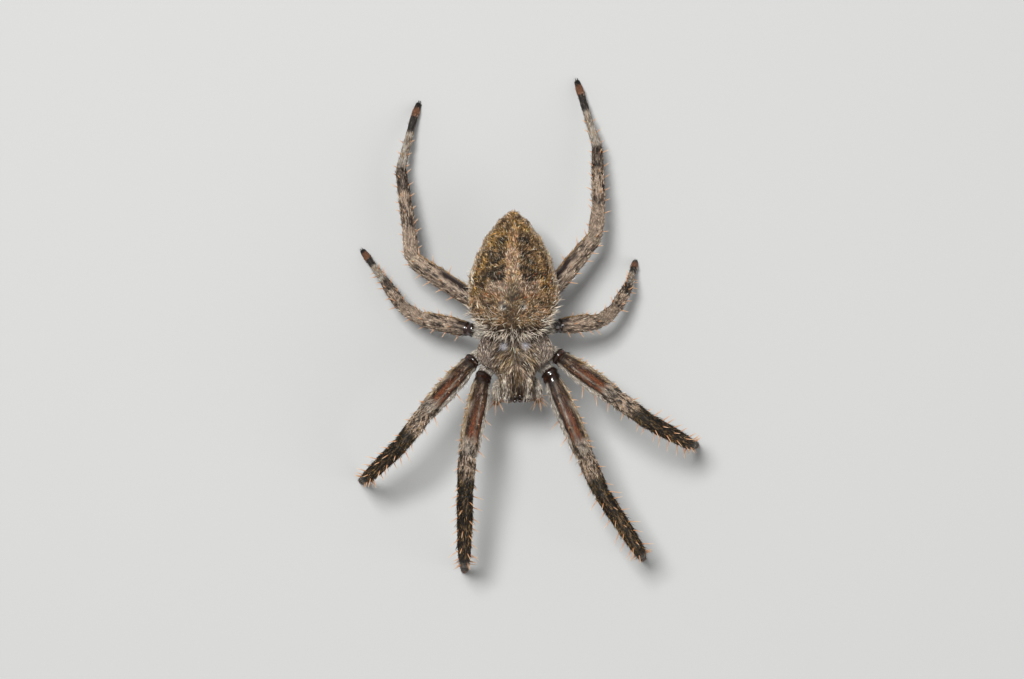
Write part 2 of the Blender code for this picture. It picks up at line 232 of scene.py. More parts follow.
def lattice(cell, seed):
    """A repeatable pseudo-random number from 0 to 1 for each integer cell."""
    mixed = cell[..., 0] * 73856093 ^ cell[..., 1] * 19349663 ^ cell[..., 2] * 83492791 ^ seed * 912871
    mixed = (mixed ^ (mixed >> 13)) * 1274126177 & 0xFFFFFFFF
    mixed = (mixed ^ (mixed >> 15)) * 668265263 & 0xFFFFFFFF
    return (mixed ^ (mixed >> 16)) / 0xFFFFFFFF


def noise(points, scale, seed):
    """Smooth value noise from 0 to 1, with features about `scale` mm across."""
    place = points / scale + 100.0
    cell = np.floor(place).astype(np.int64)
    part = place - cell
    part = part * part * (3 - 2 * part)
    total = 0.0
    for step in np.ndindex(2, 2, 2):
        weight = np.abs(1 - np.array(step) - part).prod(-1)
        total = total + weight * lattice(cell + step, seed)
    return total


def noises(points, seed, *scales):
    return [noise(points, scale, seed + k) for k, scale in enumerate(scales)]


def unit(vectors):
    return vectors / np.maximum(np.linalg.norm(vectors, axis=-1, keepdims=True), 1e-12)


def in_skin(heading, normals):
    """The heading laid flat in the plane of the skin."""
    return unit(heading - normals * (heading * normals).sum(-1, keepdims=True))


# ------------------------------------------------------------ skin surfaces

class Places:
    """Sampled spots on a surface, or the hairs that grow there: an array for each thing known about them."""

    def __init__(self, **known):
        self.__dict__.update(known)

    def __len__(self):
        return len(self.points)

    def only(self, keep):
        return Places(**{name: values[keep] for name, values in vars(self).items()})


class Surface:
    """A tube-like grid of skin points: rows along it, columns around it, with facts for each point."""

    def __init__(self, name, points, **facts):
        self.name, self.box, self.facts = name, BOXES[name], ["up", *facts]
        self.number = int(name[-1]) if name.startswith("leg") else 0
        self.points = rounded_ends(points)
        self.along = unit(np.gradient(self.points, axis=0))
        around = unit(np.roll(self.points, -1, 1) - np.roll(self.points, 1, 1))
        normals = unit(np.cross(around, self.along))
        outward = self.points - self.points.mean(1, keepdims=True)
        self.normals = normals * (1 if (normals * outward).sum() > 0 else -1)
        self.up = self.normals[..., 2]
        for key, grid in facts.items():
            ends = len(END_RINGS)
            setattr(self, key, np.concatenate([grid[:1]] * ends + [grid] + [grid[-1:]] * ends))

    def every_point(self):
        facts = {key: getattr(self, key).reshape(-1) for key in self.facts}
        return Places(points=self.points.reshape(-1, 3), **facts)

    def sample(self, count, rng, density=1.0):
        """Random places on the surface, with everything known about each of them."""
        p = self.points
        down, across = p[1:] - p[:-1], np.roll(p, -1, 1)[:-1] - p[:-1]
        weight = np.linalg.norm(np.cross(down, across), axis=-1) * np.broadcast_to(density, p.shape[:2])[:-1]
        chosen = rng.choice(weight.size, size=count, p=(weight / weight.sum()).ravel())
        row, column = np.unravel_index(chosen, weight.shape)
        down, across = rng.random(count), rng.random(count)
        after = (column + 1) % p.shape[1]

        def at(grid):
            d, a = (share.reshape(-1, *[1] * (grid.ndim - 2)) for share in (down, across))
            near = grid[row, column] * (1 - a) + grid[row, after] * a
            far = grid[row + 1, column] * (1 - a) + grid[row + 1, after] * a
            return near * (1 - d) + far * d

        found = {key: at(getattr(self, key)) for key in self.facts}
        if "piece" in found:
            found["piece"] = self.piece[row, column]
        low_u, low_v, high_u, high_v = self.box
        u = low_u + (high_u - low_u) * (column + across) / p.shape[1]
        v = low_v + (high_v - low_v) * (row + down) / (p.shape[0] - 1)
        return Places(points=at(p), normals=unit(at(self.normals)), along=unit(at(self.along)),
                      uv=np.stack([u, v], 1), **found)


END_RINGS = (0.06, 0.45, 0.82)  # sizes of the rings that close a tube, beside its first or last ring


def rounded_ends(points):
    """The same rings, with smaller ones closing each end."""
    first, last = points[:1].mean(1, keepdims=True), points[-1:].mean(1, keepdims=True)
    opening = [first + (points[:1] - first) * size for size in END_RINGS]
    closing = [last + (points[-1:] - last) * size for size in END_RINGS[::-1]]
    return np.concatenate([*opening, points, *closing])


def round_angles(count):
    return 2 * np.pi * np.arange(count) / count


def circle(count, first, second):
    """Points of a unit circle in the plane of two directions at right angles."""
    angle = round_angles(count)
    return np.cos(angle)[:, None] * first + np.sin(angle)[:, None] * second


def power(value, exponent):
    return np.sign(value) * np.abs(value) ** exponent


def section(count, roundness):
    """Across and up, round an outline that is an ellipse at roundness 2 and squarer above it."""
    angle = round_angles(count)
    return power(np.cos(angle), 2 / roundness), power(np.sin(angle), 2 / roundness)


def eased(count):
    """Steps from 0 to 1, closer together at both ends."""
    return (1 - np.cos(np.pi * np.linspace(0, 1, count))) / 2


def smooth_through(values, count):
    """Catmull-Rom curve through evenly spaced values or points, as `count` of them."""
    values = np.asarray(values, float)
    padded = np.concatenate([[2 * values[0] - values[1]], values, [2 * values[-1] - values[-2]]])
    place = np.linspace(0, 1, count) * (len(values) - 1)
    index = np.minimum(place.astype(int), len(values) - 2)
    t = (place - index).reshape(-1, *[1] * (values.ndim - 1))
    a, b, c, d = (padded[index + k] for k in range(4))
    square, cube = 2 * a - 5 * b + 4 * c - d, 3 * b - a - 3 * c + d
    return 0.5 * (2 * b + (c - a) * t + square * t ** 2 + cube * t ** 3)


def egg(t, shape):
    """Egg profile from 0 at both ends to its full size at a chosen place."""
    size, place, tail_power, front_power = shape
    return size * (t / place) ** tail_power * ((1 - t) / (1 - place)) ** front_power


def turned(points):
    """Points of the front body after its slight turn about the waist."""
    c, s = math.cos(FRONT_TURN), math.sin(FRONT_TURN)
    rotation = np.array([[c, -s, 0], [s, c, 0], [0, 0, 1]])
    return (np.asarray(points, float) - WAIST) @ rotation.T + WAIST


def turned_way(ways):
    return turned(ways + WAIST) - WAIST


def on_side(side, points):
    """Points of the front body, given for the left side, on the wanted side."""
    return [turned((SIDES[side] * x, y, z)) for x, y, z in points]


def abdomen_surface():
    rows, columns = 150, 144
    t = 0.022 + 0.966 * eased(rows)
    half_width, top, depth = (np.maximum(egg(t, shape) - BODY_COAT, 0.10)[:, None]
                              for shape in (ABDOMEN_WIDTH, ABDOMEN_TOP, ABDOMEN_DEPTH))
    across, rise = section(columns, 2.1)
    points = np.repeat((TAIL + (FRONT - TAIL) * t[:, None])[:, None, :], columns, 1)
    points[:, :, 0] += half_width * across
    points[:, :, 2] += np.where(rise > 0, top, depth) * rise
    normals = Surface("abdomen", points).normals[len(END_RINGS):-len(END_RINGS)]
    return Surface("abdomen", points + normals * abdomen_relief(points, normals)[..., None])


def abdomen_relief(points, normals):
    """Soft folds, the muscle dimples on the back, and fine unevenness of the skin."""
    x, y = np.abs(points[..., 0]), points[..., 1]
    upper = ramp(normals[..., 2], 0.1, 0.6)
    dimples = sum(hill(np.hypot(x - dx, y - dy), 0, 0.20) for dx, dy in DIMPLES)
    folds = np.sin(y * 4.2 + 0.8 * np.cos(x * 1.3)) * ramp(y, 4.0, 7.0) * 0.03
    bumps = (noise(points, 0.9, 11) - 0.5) * 0.10 + (noise(points, 0.3, 12) - 0.5) * 0.04
    return bumps + folds * ramp(np.abs(normals[..., 2]), 0.9, 0.3) - 0.07 * dimples * upper


def carapace_surface():
    rows, columns = 120, 120
    y, half_width, top, rim, under, roundness = smooth_through(CARAPACE, rows).T[..., None]
    across, rise = section(columns, roundness)
    x = (half_width - FRONT_COAT) * across
    z = rim + rise * np.where(rise > 0, top - FRONT_COAT - rim, rim - under)
    y = np.repeat(np.interp(y, *CARAPACE_ENDS), columns, 1)
    z = z - carapace_grooves(x, y) * (rise > 0)
    return Surface("carapace", turned(np.stack([x, y, z], -1)), x=x, y=y)


def neck(y):
    """Half width of the head where the furrows beside it run."""
    return 0.30 + 0.42 * (-0.6 - y)


def carapace_grooves(x, y):
    """Depth of the lengthwise pit, of the furrows beside the head, and of the rays to the legs."""
    side = np.abs(x)
    pit = 0.16 * hill(side, 0, 0.10) * ramp(y, -1.4, -0.9) * ramp(y, 0.9, 0.4)
    furrow = 0.10 * hill(side - neck(y), 0, 0.16) * ramp(y, -0.5, -0.9) * ramp(y, -3.2, -2.2)
    rays = 0.05 * np.cos(np.arctan2(side, -(y + 0.2)) * 9) * ramp(side, 0.5, 1.2) * ramp(side, 2.9, 2.2)
    return pit + furrow + rays


def block_surface(name, shape, squareness):
    """Rounded upright block, for the sternum and the mouthparts."""
    centre_y, half_length, half_width, bottom, top = shape
    rows, columns = 36, 48
    size, height = (np.interp(np.linspace(0, 7, rows), range(8), levels)[:, None]
                    for levels in (BLOCK_SIZE, BLOCK_HEIGHT))
    across, forward = section(columns, squareness)
    x = (half_width - BLOCK_COAT) * size * across
    y = centre_y + (half_length - BLOCK_COAT) * size * forward
    z = np.repeat(bottom + 0.02 + (top - bottom) * height, columns, 1)
    return Surface(name, turned(np.stack([x, y, z], -1)))


def direction(side, degrees_out, slope):
    out, rise = math.radians(degrees_out), math.radians(slope)
    flat = np.array([SIDES[side] * math.sin(out), math.cos(out), 0.0])
    return flat * math.cos(rise) + UP * math.sin(rise)


def floor_slope(height, metatarsus, tarsus, steeper):
    """Slope of the metatarsus that sets the foot on the floor, in degrees."""
    low, high = 0.0, 89.0 - steeper
    for _ in range(40):
        middle = (low + high) / 2
        drop = metatarsus * math.sin(math.radians(middle)) + tarsus * math.sin(math.radians(middle + steeper))
        low, high = (middle, high) if drop < height else (low, middle)
    return low


def leg_path(side, number):
    """Joint centres from where the coxa starts to the foot."""
    lengths = [LEG_SIZE.get((side, number), 1.0) * length for length in SEGMENTS[number]]
    *upper, metatarsus_out, tarsus_out, steeper = POSE[side, number]
    path = on_side(side, (COXA_START[number], COXA_END[number]))
    for length, (out, slope) in zip(lengths, upper):
        path.append(path[-1] + direction(side, out, slope) * length)
    slope = floor_slope(path[-1][2], *lengths[3:], steeper)
    path.append(path[-1] + direction(side, metatarsus_out, -slope) * lengths[3])
    path.append(path[-1] + direction(side, tarsus_out, -slope - steeper) * lengths[4])
    return path


def bent_line(path, rows_per_piece, bend):
    """Points and directions along a path whose corners are rounded over `bend` mm each way."""
    lengths = [np.linalg.norm(b - a) for a, b in zip(path, path[1:])]
    ways = [unit(b - a) for a, b in zip(path, path[1:])]
    found = []
    for piece, (way, length, rows) in enumerate(zip(ways, lengths, rows_per_piece)):
        last = piece == len(ways) - 1
        reach = min(bend, 0.45 * length)
        for part in (0.55 * eased(rows) + 0.45 * np.linspace(0, 1, rows))[: None if last else -1]:
            distance = part * length
            heading, point = way, path[piece] + way * distance
            if distance < reach and piece > 0:
                heading, point = round_corner(path[piece], ways[piece - 1], way, distance, reach)
            if length - distance < reach and not last:
                heading, point = round_corner(path[piece + 1], way, ways[piece + 1], distance - length, reach)
            found.append((piece, part, point, heading))
    return found


def round_corner(corner, before, after, distance, reach):
    q = (distance + reach) / (2 * reach)
    point = corner - before * reach * (1 - q) ** 2 + after * reach * q ** 2
    return unit((1 - q) * before + q * after), point


def limb_surface(name, path, radius_of, rows_per_piece, front_sign=1, columns=40, bend=0.5, relief=None):
    """Continuous tube along a path. radius_of(piece, part, along_mm) gives each ring's radius."""
    rows = bent_line(path, rows_per_piece, bend)
    across = unit(np.cross(rows[0][3], UP))
    rings = []
    for piece, part, point, heading in rows:
        across = unit(across - heading * (across @ heading))
        length = np.linalg.norm(path[piece + 1] - path[piece])
        ring = circle(columns, np.cross(across, heading), across)
        rings.append(point + radius_of(piece, part, length) * ring)
    piece, part = (np.repeat(np.array([row[k] for row in rows])[:, None], columns, 1) for k in range(2))
    back, front = (np.broadcast_to(wave(round_angles(columns)), part.shape) for wave in (np.cos, np.sin))
    points = relief(np.array(rings), piece, part) if relief else np.array(rings)
    return Surface(name, points, piece=piece, part=part, back=back, front=front * front_sign)


def leg_surface(side, number):
    def radius_of(piece, part, length):
        girth = {COXA: 1.0, TARSUS: max(GIRTH[number], LEAST_FOOT_GIRTH)}.get(piece, GIRTH[number])
        radius = np.interp(part, *LEG_RADII[piece]) * girth - LEG_COAT[piece]
        return radius * joint_waist(piece, part, length)

    path, rows = leg_path(side, number), (26, 44, 24, 36, 36, 20)
    return limb_surface(f"leg_{side}_{number}", path, radius_of, rows, SIDES[side], relief=leg_relief)


def joint_waist(piece, part, length):
    """How much a leg narrows near its joints. The trochanter is a bead on the thigh's start."""
    start, end = part * length, (1 - part) * length
    factor = (1 - PINCH_START[piece] * hill(start, 0, 0.10)) * (1 - PINCH_END[piece] * hill(end, 0, 0.12))
    if piece == FEMUR:
        beads = 0.08 * hill(start, 0.30, 0.15) + 0.08 * hill(start, 0.76, 0.12)
        factor *= 1 + beads - 0.20 * hill(start, 0.56, 0.06)
    if piece == TARSUS:
        factor *= 1 - 0.75 * ramp(part, 0.93, 1.0)
    return factor


def leg_relief(points, piece, part):
    """Fine unevenness, coarser on the shell at the thigh's start."""
    centre = points.mean(1, keepdims=True)
    bumps = 1 + (noise(points, 0.5, 21) - 0.5) * 0.10 + (noise(points, 0.16, 22) - 0.5) * 0.05
    base = (piece == FEMUR) * ramp(part, 0.17, 0.10)
    bumps = bumps + base * (noise(points, 0.38, 23) - 0.5) * 0.22
    points = centre + (points - centre) * bumps[..., None]
    points[..., 2] = np.maximum(points[..., 2], 0.02)
    return points


def palp_surface(side):
    def radius_of(piece, part, length):
        radius = PALP_RADII[piece] + (PALP_RADII[piece + 1] - PALP_RADII[piece]) * part - PALP_COAT
        waist = 1 - 0.14 * hill(part * length, 0, 0.12) - 0.14 * hill((1 - part) * length, 0, 0.12)
        return radius * waist * (1 - (0.8 * ramp(part, 0.9, 1.0) if piece == 2 else 0))

    path = on_side(side, PALP)
    return limb_surface(f"palp_{side}", path, radius_of, (14, 20, 26), SIDES[side], 28, 0.35, leg_relief)


def waist_surface():
    path = [turned((0, 1.95, 6.95)), np.array([0, 2.6, 7.0]), np.array([0, 3.3, 7.2])]
    return limb_surface("waist", path, lambda piece, part, length: 0.30, (8, 8), 1, 24, 0.3)


# ------------------------------------------------------------ markings

# Middle band of the abdomen's back: place along the body and half width.
BAND = ((4.3, 0.34), (4.9, 0.52), (5.4, 0.62), (5.9, 0.50), (6.2, 0.34), (6.7, 0.50),
        (7.05, 0.64), (7.35, 0.30), (7.7, 0.33), (8.4, 0.36), (8.9, 0.12))

# Dark rows beside the band: start across and along the body, slope, reach outward, half thickness.
DARK_ROWS = ((0.45, 8.05, -0.30, 1.1, 0.27), (0.52, 7.00, -0.06, 1.3, 0.10), (0.66, 6.74, -0.62, 1.7, 0.15),
             (0.60, 5.88, -0.42, 2.2, 0.20), (0.72, 5.10, -0.10, 1.5, 0.32))
SPOT = (0.75, 2.97)  # the pair of small dark dimples in front
HAIR_SHIFT = (0.07, 0.12)  # how far outward and tailward of its root a hair shows its colour

BEAD = {1: 0.145, 2: 0.135, 3: 0.17, 4: 0.12}  # how much of each thigh's length is dark glossy shell
STRIPE_REACH = {3: 0.42, 4: 0.74}  # how far along the rear of thighs III and IV the shell goes on as a stripe
FEMUR_SPOTS = ((0.30, -0.02), (0.43, -0.45), (0.50, 0.60), (0.66, -0.62), (0.70, 0.15), (0.87, 0.58),
               (0.90, -0.40))


def abdomen_colour(spots):
    """Back: pale wavy middle band between rows of dark slanting marks, on mottled gold-brown."""
    x, y = np.abs(spots.points[:, 0]) + HAIR_SHIFT[0], spots.points[:, 1] + HAIR_SHIFT[1]
    coarse, middle, fine = noises(spots.points, 31, 0.75, 0.28, 0.12)
    wander = (middle - 0.5) * 0.30 + (fine - 0.5) * 0.22
    mottle = ramp(middle * 0.55 + fine * 0.45, 0.49, 0.60)
    colour = paint(
        GOLD,
        (TAN, ramp(coarse, 0.35, 0.65)),
        (BROWN, ramp(coarse * 0.4 + fine * 0.6, 0.45, 0.58) * 0.85),
        (OLIVE_BLACK, mottle * 0.80 * ramp(y, 3.6, 4.8) * ramp(x, 0.3, 0.8)),
        (OLIVE_BROWN, mottle * 0.75 * ramp(y, 8.4, 8.9) * ramp(x, 1.1, 0.6)))
    colour = abdomen_front(colour, x, y, wander, middle, fine)
    behind_cross = ramp(y + 0.2 * wander, 4.78, 4.88)
    for x0, y0, slope, reach, thick in DARK_ROWS:
        slant = hill(y - (y0 + slope * (x - x0)) + wander, 0, thick)
        across = span(x, x0 - 0.14, x0 + 0.04, x0 + 0.45 * reach, x0 + reach)
        colour = mix(colour, OLIVE_BLACK, ramp(slant, 0.25, 0.65) * across * behind_cross)
    blot = hill(np.hypot(x - 2.5, (y - 4.4) * 1.3), 0, 0.42)
    half_band = np.interp(y, *np.transpose(BAND))
    band = ramp(x + wander * 0.6, half_band + 0.07, half_band - 0.07) * span(y, 4.5, 5.0, 8.4, 8.95)
    pink = paint(PINK, (ORANGE_PINK, ramp(y, 7.1, 7.5)), (TAN, ramp(middle, 0.45, 0.7)),
                 (BROWN, ramp(fine, 0.55, 0.72) * 0.7))
    margin = ramp(spots.up, 0.60, 0.38) * ramp(y, 2.6, 4.2) * (0.45 + 0.4 * (1 - mottle))
    colour = paint(
        colour,
        (OLIVE_BLACK, ramp(x, 1.9, 2.5) * span(y, 3.7, 4.3, 6.2, 7.6) * ramp(middle, 0.47, 0.60) * 0.8),
        (OLIVE_BLACK, ramp(blot + wander, 0.45, 0.75) * 0.85),
        (pink, band * 0.92),
        (BLACK_BROWN, ramp(np.hypot(x, y - 8.25), 0.14, 0.07)),
        (mix(TAN, PALE_GREY, ramp(fine, 0.4, 0.6)), margin))
    return abdomen_underside(colour, spots, middle, fine)


def abdomen_front(colour, x, y, wander, middle, fine):
    """In front of the rows: a grey-pink cross, then orange-brown with two spots, and painted shade at the
    very front, where the abdomen overhangs the carapace.
    """
    grain = fine * 0.7 + middle * 0.3
    warm = paint(
        ORANGE_BROWN,
        (OLIVE_TAN, ramp(middle, 0.40, 0.60)),
        (DARK_BROWN, ramp(grain, 0.50, 0.58) * 0.80),
        (CREAM, ramp(grain, 0.42, 0.34) * 0.40),
        (OLIVE_BROWN, ramp(x, 0.55, 0.35) * ramp(y, 3.0, 2.6) * 0.6))
    grey = paint(GREY_PINK, (CREAM, ramp(fine, 0.44, 0.34) * 0.5), (BROWN, ramp(fine, 0.52, 0.62) * 0.8))
    cross = ramp(x + wander, 2.15, 1.85) * ramp(y - 0.04 * x + 0.2 * wander, 4.88, 4.76)
    centre = ramp(x + 0.5 * wander, 0.52, 0.38) * span(y, 3.1, 3.4, 4.75, 4.95)
    red_row = hill(y + 0.5 * wander - 3.75, 0, 0.12) * span(x, 0.7, 0.9, 2.0, 2.3)
    halo = np.hypot(x - SPOT[0] - 0.08, y - SPOT[1] + 0.10)
    return paint(
        colour,
        (warm * 0.88, ramp(y + wander, 4.3, 3.6) * 0.92),
        (grey, cross * ramp(y + wander, 3.75, 4.05) * 0.9),
        (mix(OLIVE_GREY, OLIVE_BROWN, ramp(middle, 0.45, 0.60) * 0.7), centre * 0.9),
        (DARK_BROWN, hill(y - 3.45 - 0.9 * x, 0, 0.07) * ramp(x, 0.55, 0.40) * 0.8),
        (RUST, red_row * ramp(fine, 0.50, 0.60) * 0.6),
        (WHITISH, ramp(halo, 0.30, 0.18) * 0.7),
        (BLACK_BROWN, ramp(np.hypot(x - SPOT[0], y - SPOT[1]), 0.19, 0.15)),
        # painted shade: dark brown over the front face of the abdomen, above the carapace
        (DARK_BROWN, ramp(y + wander, 1.9, 1.3) * 0.92))


def abdomen_underside(colour, spots, middle, fine):
    """Sides fade to mottled grey-brown, and the belly is black with two pale bars."""
    x, y = np.abs(spots.points[:, 0]), spots.points[:, 1]
    belly = ramp(spots.up, -0.45, -0.7)
    side = paint(GREY_BROWN, (TAN, middle), (DARK_BROWN, ramp(fine * 0.5 + middle * 0.5, 0.48, 0.6) * 0.8))
    return paint(
        colour,
        (side, ramp(spots.up, 0.02, -0.30)),
        (mix(BLACK_BROWN, BROWN, middle * 0.5), belly * ramp(x, 1.6, 1.2)),
        (CREAM, belly * (hill(x, 0.95, 0.22) * span(y, 4.2, 4.8, 6.8, 7.4)) * 0.9))


def carapace_colour(spots):
    """Grey-mauve flanks, streaks that fan from the pit, and a dark head between pale side stripes."""
    x, y = spots.x, spots.y
    side = np.abs(x)
    middle, fine = noises(spots.points, 41, 0.35, 0.12)
    bearing, reach = np.arctan2(side, -(y + 0.3)), np.hypot(side, y + 0.3)
    on_head = ramp(y, -1.4, -2.2)
    lane = np.stack([bearing * 14 * (1 - on_head) + side * 11 * on_head + np.sign(x) * 40, reach, 0 * x], -1)
    streak = ramp(noise(lane, 1.0, 43), 0.40, 0.62)
    dark_head = ramp(side + 0.45 * ramp(y, -2.3, -1.5), 0.74, 0.58) * ramp(y, -1.2, -1.7)
    two_lines = hill(side - 0.55 * (-1.15 - y), 0, 0.11) * span(y, -2.5, -2.1, -1.3, -1.1)
    stripe = hill(side - 0.06 * ramp(y, -3.2, -1.8), 0.80, 0.19) * span(y, -3.75, -3.45, -2.1, -1.5)
    blotch = ramp(fine * 0.45 + middle * 0.55, 0.53, 0.66)
    wedge = ramp(side, 0.18 + 0.35 * ramp(y, 0.2, 1.2), 0.05) * ramp(y, 0.15, 0.4)
    return paint(
        mix(GREY_BROWN * 0.75, GREY_MAUVE * 1.15, 0.5 * ramp(middle, 0.35, 0.65) + 0.5 * streak),
        (mix(OLIVE_BROWN * 0.6, OLIVE_TAN * 1.15, streak), ramp(side, 1.9, 1.0) * ramp(y, 0.5, -0.2) * 0.9),
        (mix(DARK_BROWN * 0.8, OLIVE_TAN, streak * 0.34), dark_head * 0.95),
        (GREY_PINK, two_lines * 0.75),
        (PALE_GREY, stripe * (0.55 + 0.40 * streak)),
        (mix(DARK_BROWN, OLIVE_TAN, streak * 0.5), ramp(side, 0.98, 1.15) * ramp(y, -1.9, -2.4) * 0.85),
        (DARK_BROWN, ramp(y, -3.45, -3.80) * 0.85),
        (DARK_BROWN, blotch * 0.65 * ramp(side, 0.9, 1.4)),
        (BLACK_BROWN, hill(side - neck(y), 0, 0.13) * span(y, -2.4, -1.8, -1.0, -0.6) * 0.4),
        # painted reflection of the light on the shell: two pale blue-white patches beside the pit
        (BLUE_WHITE, ramp(np.hypot(side - 0.72, (y - 0.02) * 0.9), 0.42, 0.14) * 0.85),
        (BLACK_BROWN, hill(side, 0, 0.13) * span(y, -1.4, -1.15, -0.65, -0.45)),
        # painted highlight: a small white streak on the middle line just behind the dark pit
        (WHITISH, ramp(np.hypot(side, (y + 0.25) * 0.4), 0.13, 0.07) * 0.9),
        # dark red-brown at the rear of the carapace, darkened to half as painted shadow of the abdomen's
        # overhang
        (DEEP_RUST * 0.5, wedge * 0.9),
        (DEEP_RUST * 0.5, ramp(y, 0.35, 0.70) * 0.85 * ramp(side, 2.4, 1.8)))


def leg_colour(spots, number):
    piece, part, back, front = spots.piece, spots.part, spots.back, spots.front
    middle, fine = noises(spots.points, 51, 0.30, 0.12)
    streak = noise(np.stack([front * 14, back * 14, part * 9 + 20 * piece], -1), 1.0, 53)
    speck = ramp(middle * 0.35 + fine * 0.65, 0.56, 0.62)
    front_thigh = front_thigh_colour(spots, number, speck, streak)
    rear_thigh = rear_thigh_colour(spots, speck, streak)
    colour = np.choose(piece[:, None], [
        paint(OLIVE_TAN, (WHITISH, ramp(part, 0.4, 0.7)), (DARK_BROWN, speck * 0.5)),
        front_thigh if number < 3 else rear_thigh,
        patella_colour(number, part, speck, streak),
        tibia_colour(number, part, speck, streak),
        metatarsus_colour(number, part, speck, streak),
        paint(TARSUS_BROWN, (BROWN, speck * 0.5), (BLACK_BROWN, ramp(part, 0.50, 0.66)))])
    groove = hill(part + 0.01 * np.sin(5 * front), 0.60 * BEAD[number], 0.006) * (piece == FEMUR)
    rim = groove * ramp(middle, 0.35, 0.6) * 0.35
    return paint(colour, (SHELL, bare_shell(spots, number)), (RIM_ORANGE, rim))


def bare_shell(spots, number):
    """Where the dark, nearly hairless shell shows: the trochanter, and the rear of thighs III and IV."""
    ragged = spots.part + 0.005 * np.sin(7 * spots.front + 3 * spots.back)
    bare = ramp(ragged, BEAD[number] + 0.010, BEAD[number] - 0.010)
    if number in STRIPE_REACH:
        reach = STRIPE_REACH[number]
        stripe = span(spots.front, -0.93, -0.84, -0.36, -0.22) * ramp(spots.part, reach, reach - 0.15)
        bare = np.maximum(bare, stripe * ramp(spots.back, -0.5, -0.1))
    return np.where(spots.piece == FEMUR, bare, 0.0)


def rear_thigh_colour(spots, speck, streak):
    """Thighs III and IV: mottled grey-pink, and gold along the rear."""
    return paint(
        THIGH_BROWN,
        (PALE_PINK, ramp(streak, 0.30, 0.50)),
        (BLACK_BROWN, speck * 0.85),
        (DARK_BROWN, ramp(spots.part, 0.30, 0.18) * 0.6),
        (GOLD, ramp(spots.front, -0.84, -0.93) * 0.8),
        (CREAM, hill(spots.part, 0.97, 0.05) * 0.5))


def front_thigh_colour(spots, number, speck, streak):
    """Thighs I and II: grey-white with rust stripes on the back and a dark line beside them."""
    part, back, front = spots.part, spots.back, spots.front
    pale, dark = ramp(streak, 0.58, 0.72), ramp(streak, 0.50, 0.36)
    ground = paint(THIGH_BROWN, (GREY_PINK, ramp(streak, 0.42, 0.56) * 0.4), (PALE_GREY, pale * 0.7),
                   (DARK_BROWN, dark * 0.8))
    rust = paint(RUST * 0.75, (DEEP_RUST, dark * 0.9), (PALE_GREY, pale * 0.12))
    stripes = ramp(np.abs(front + 0.34), 0.34, 0.12) + ramp(np.abs(front - 0.27), 0.20, 0.06)
    warm = np.minimum(stripes, 1) * span(part, 0.12, 0.70, 0.82, 0.92) * ramp(back, -0.3, 0.2)
    middle_line = ramp(np.abs(front - 0.03), 0.12, 0.05) * ramp(part, 0.25, 0.75)
    after_shell = ramp(part, BEAD[number] + 0.10, BEAD[number]) * ramp(np.abs(front), 0.62, 0.52)
    line = ramp(np.abs(front - 0.48), 0.10, 0.05) * span(part, 0.14, 0.18, 0.74, 0.86)
    to_knee = ramp(part, 0.78, 0.88)
    dots = [(BLACK_BROWN, ramp(np.hypot((part - place) * 7, (front - height) * 0.75), 0.16, 0.07)
             * ramp(back, -0.2, 0.1)) for place, height in FEMUR_SPOTS]
    return paint(
        ground * 0.9,
        (rust, warm * 0.95),
        (PALE_GREY, middle_line * (0.25 + 0.5 * pale)),
        (DARK_BROWN, after_shell * 0.75),
        (BLACK_BROWN, line * ramp(back, -0.2, 0.1)),
        # the real pale front band, made brighter than white as painted light on the side that turns from the
        # lamps
        (mix(WHITISH * 1.2, GREY_BROWN, dark * 0.5), ramp(front, 0.57, 0.62) * 0.95),
        (mix(CREAM, GOLD, dark), ramp(front, -0.82, -0.90) * 0.9),
        (mix(PALE_GREY, THIGH_BROWN, dark), to_knee * 0.85),
        (BLACK_BROWN, speck * (0.15 + 0.75 * to_knee)),
        *dots)


def patella_colour(number, part, speck, streak):
    pale = paint(PALE_PINK, (DARK_BROWN, ramp(streak, 0.48, 0.34)), (BLACK_BROWN, speck * 0.9))
    if number > 2:
        return mix(pale, PALE_PINK * 0.8, 0.5)
    return mix(pale, mix(OLIVE_BLACK, OLIVE_TAN, ramp(streak, 0.6, 0.7) * 0.5), ramp(part, 0.40, 0.70))


def tibia_colour(number, part, speck, streak):
    if number < 3:
        ground = mix(OLIVE_BLACK * 0.5, TAN, ramp(streak, 0.58, 0.66) * 0.65)
        return mix(ground, BLACK_BROWN, np.maximum(speck * 0.9, ramp(part, 0.75, 0.98) * 0.5))
    dark = ramp(part, 0.54, 0.62) * (0.80 + 0.20 * speck) + 0.5 * hill(part, 0.06, 0.06)
    return paint(THIGH_BROWN, (PALE_PINK, ramp(streak, 0.30, 0.48)), (BLACK_BROWN, speck * 0.95),
                 (BLACK_BROWN, np.minimum(dark, 1) * 0.92))


def metatarsus_colour(number, part, speck, streak):
    ground = paint(WHITISH, (TAN, ramp(streak, 0.5, 0.3)), (DARK_BROWN, speck * 0.6))
    if number < 3:
        ends = np.maximum(ramp(part, 0.40, 0.30), ramp(part, 0.60, 0.70))
        return mix(ground * 0.5, OLIVE_BLACK, ends * 0.9)
    return mix(ground, BLACK_BROWN, np.maximum(ramp(part, 0.64, 0.70), 0.35 * hill(part, 0.03, 0.04)) * 0.94)


def palp_colour(spots):
    middle, fine = noises(spots.points, 61, 0.28, 0.12)
    tip = 1.0 * (spots.piece == 2)
    return paint(
        PALE_GREY,
        (WHITISH, middle),
        (mix(OLIVE_TAN, OLIVE_BROWN, ramp(middle, 0.4, 0.6)), tip * 0.8),
        (TAN, hill(spots.part, 0.0, 0.22) * tip * 0.6),
        (DARK_BROWN, ramp(middle * 0.5 + fine * 0.5, 0.53, 0.62) * (0.5 + 0.3 * tip)))


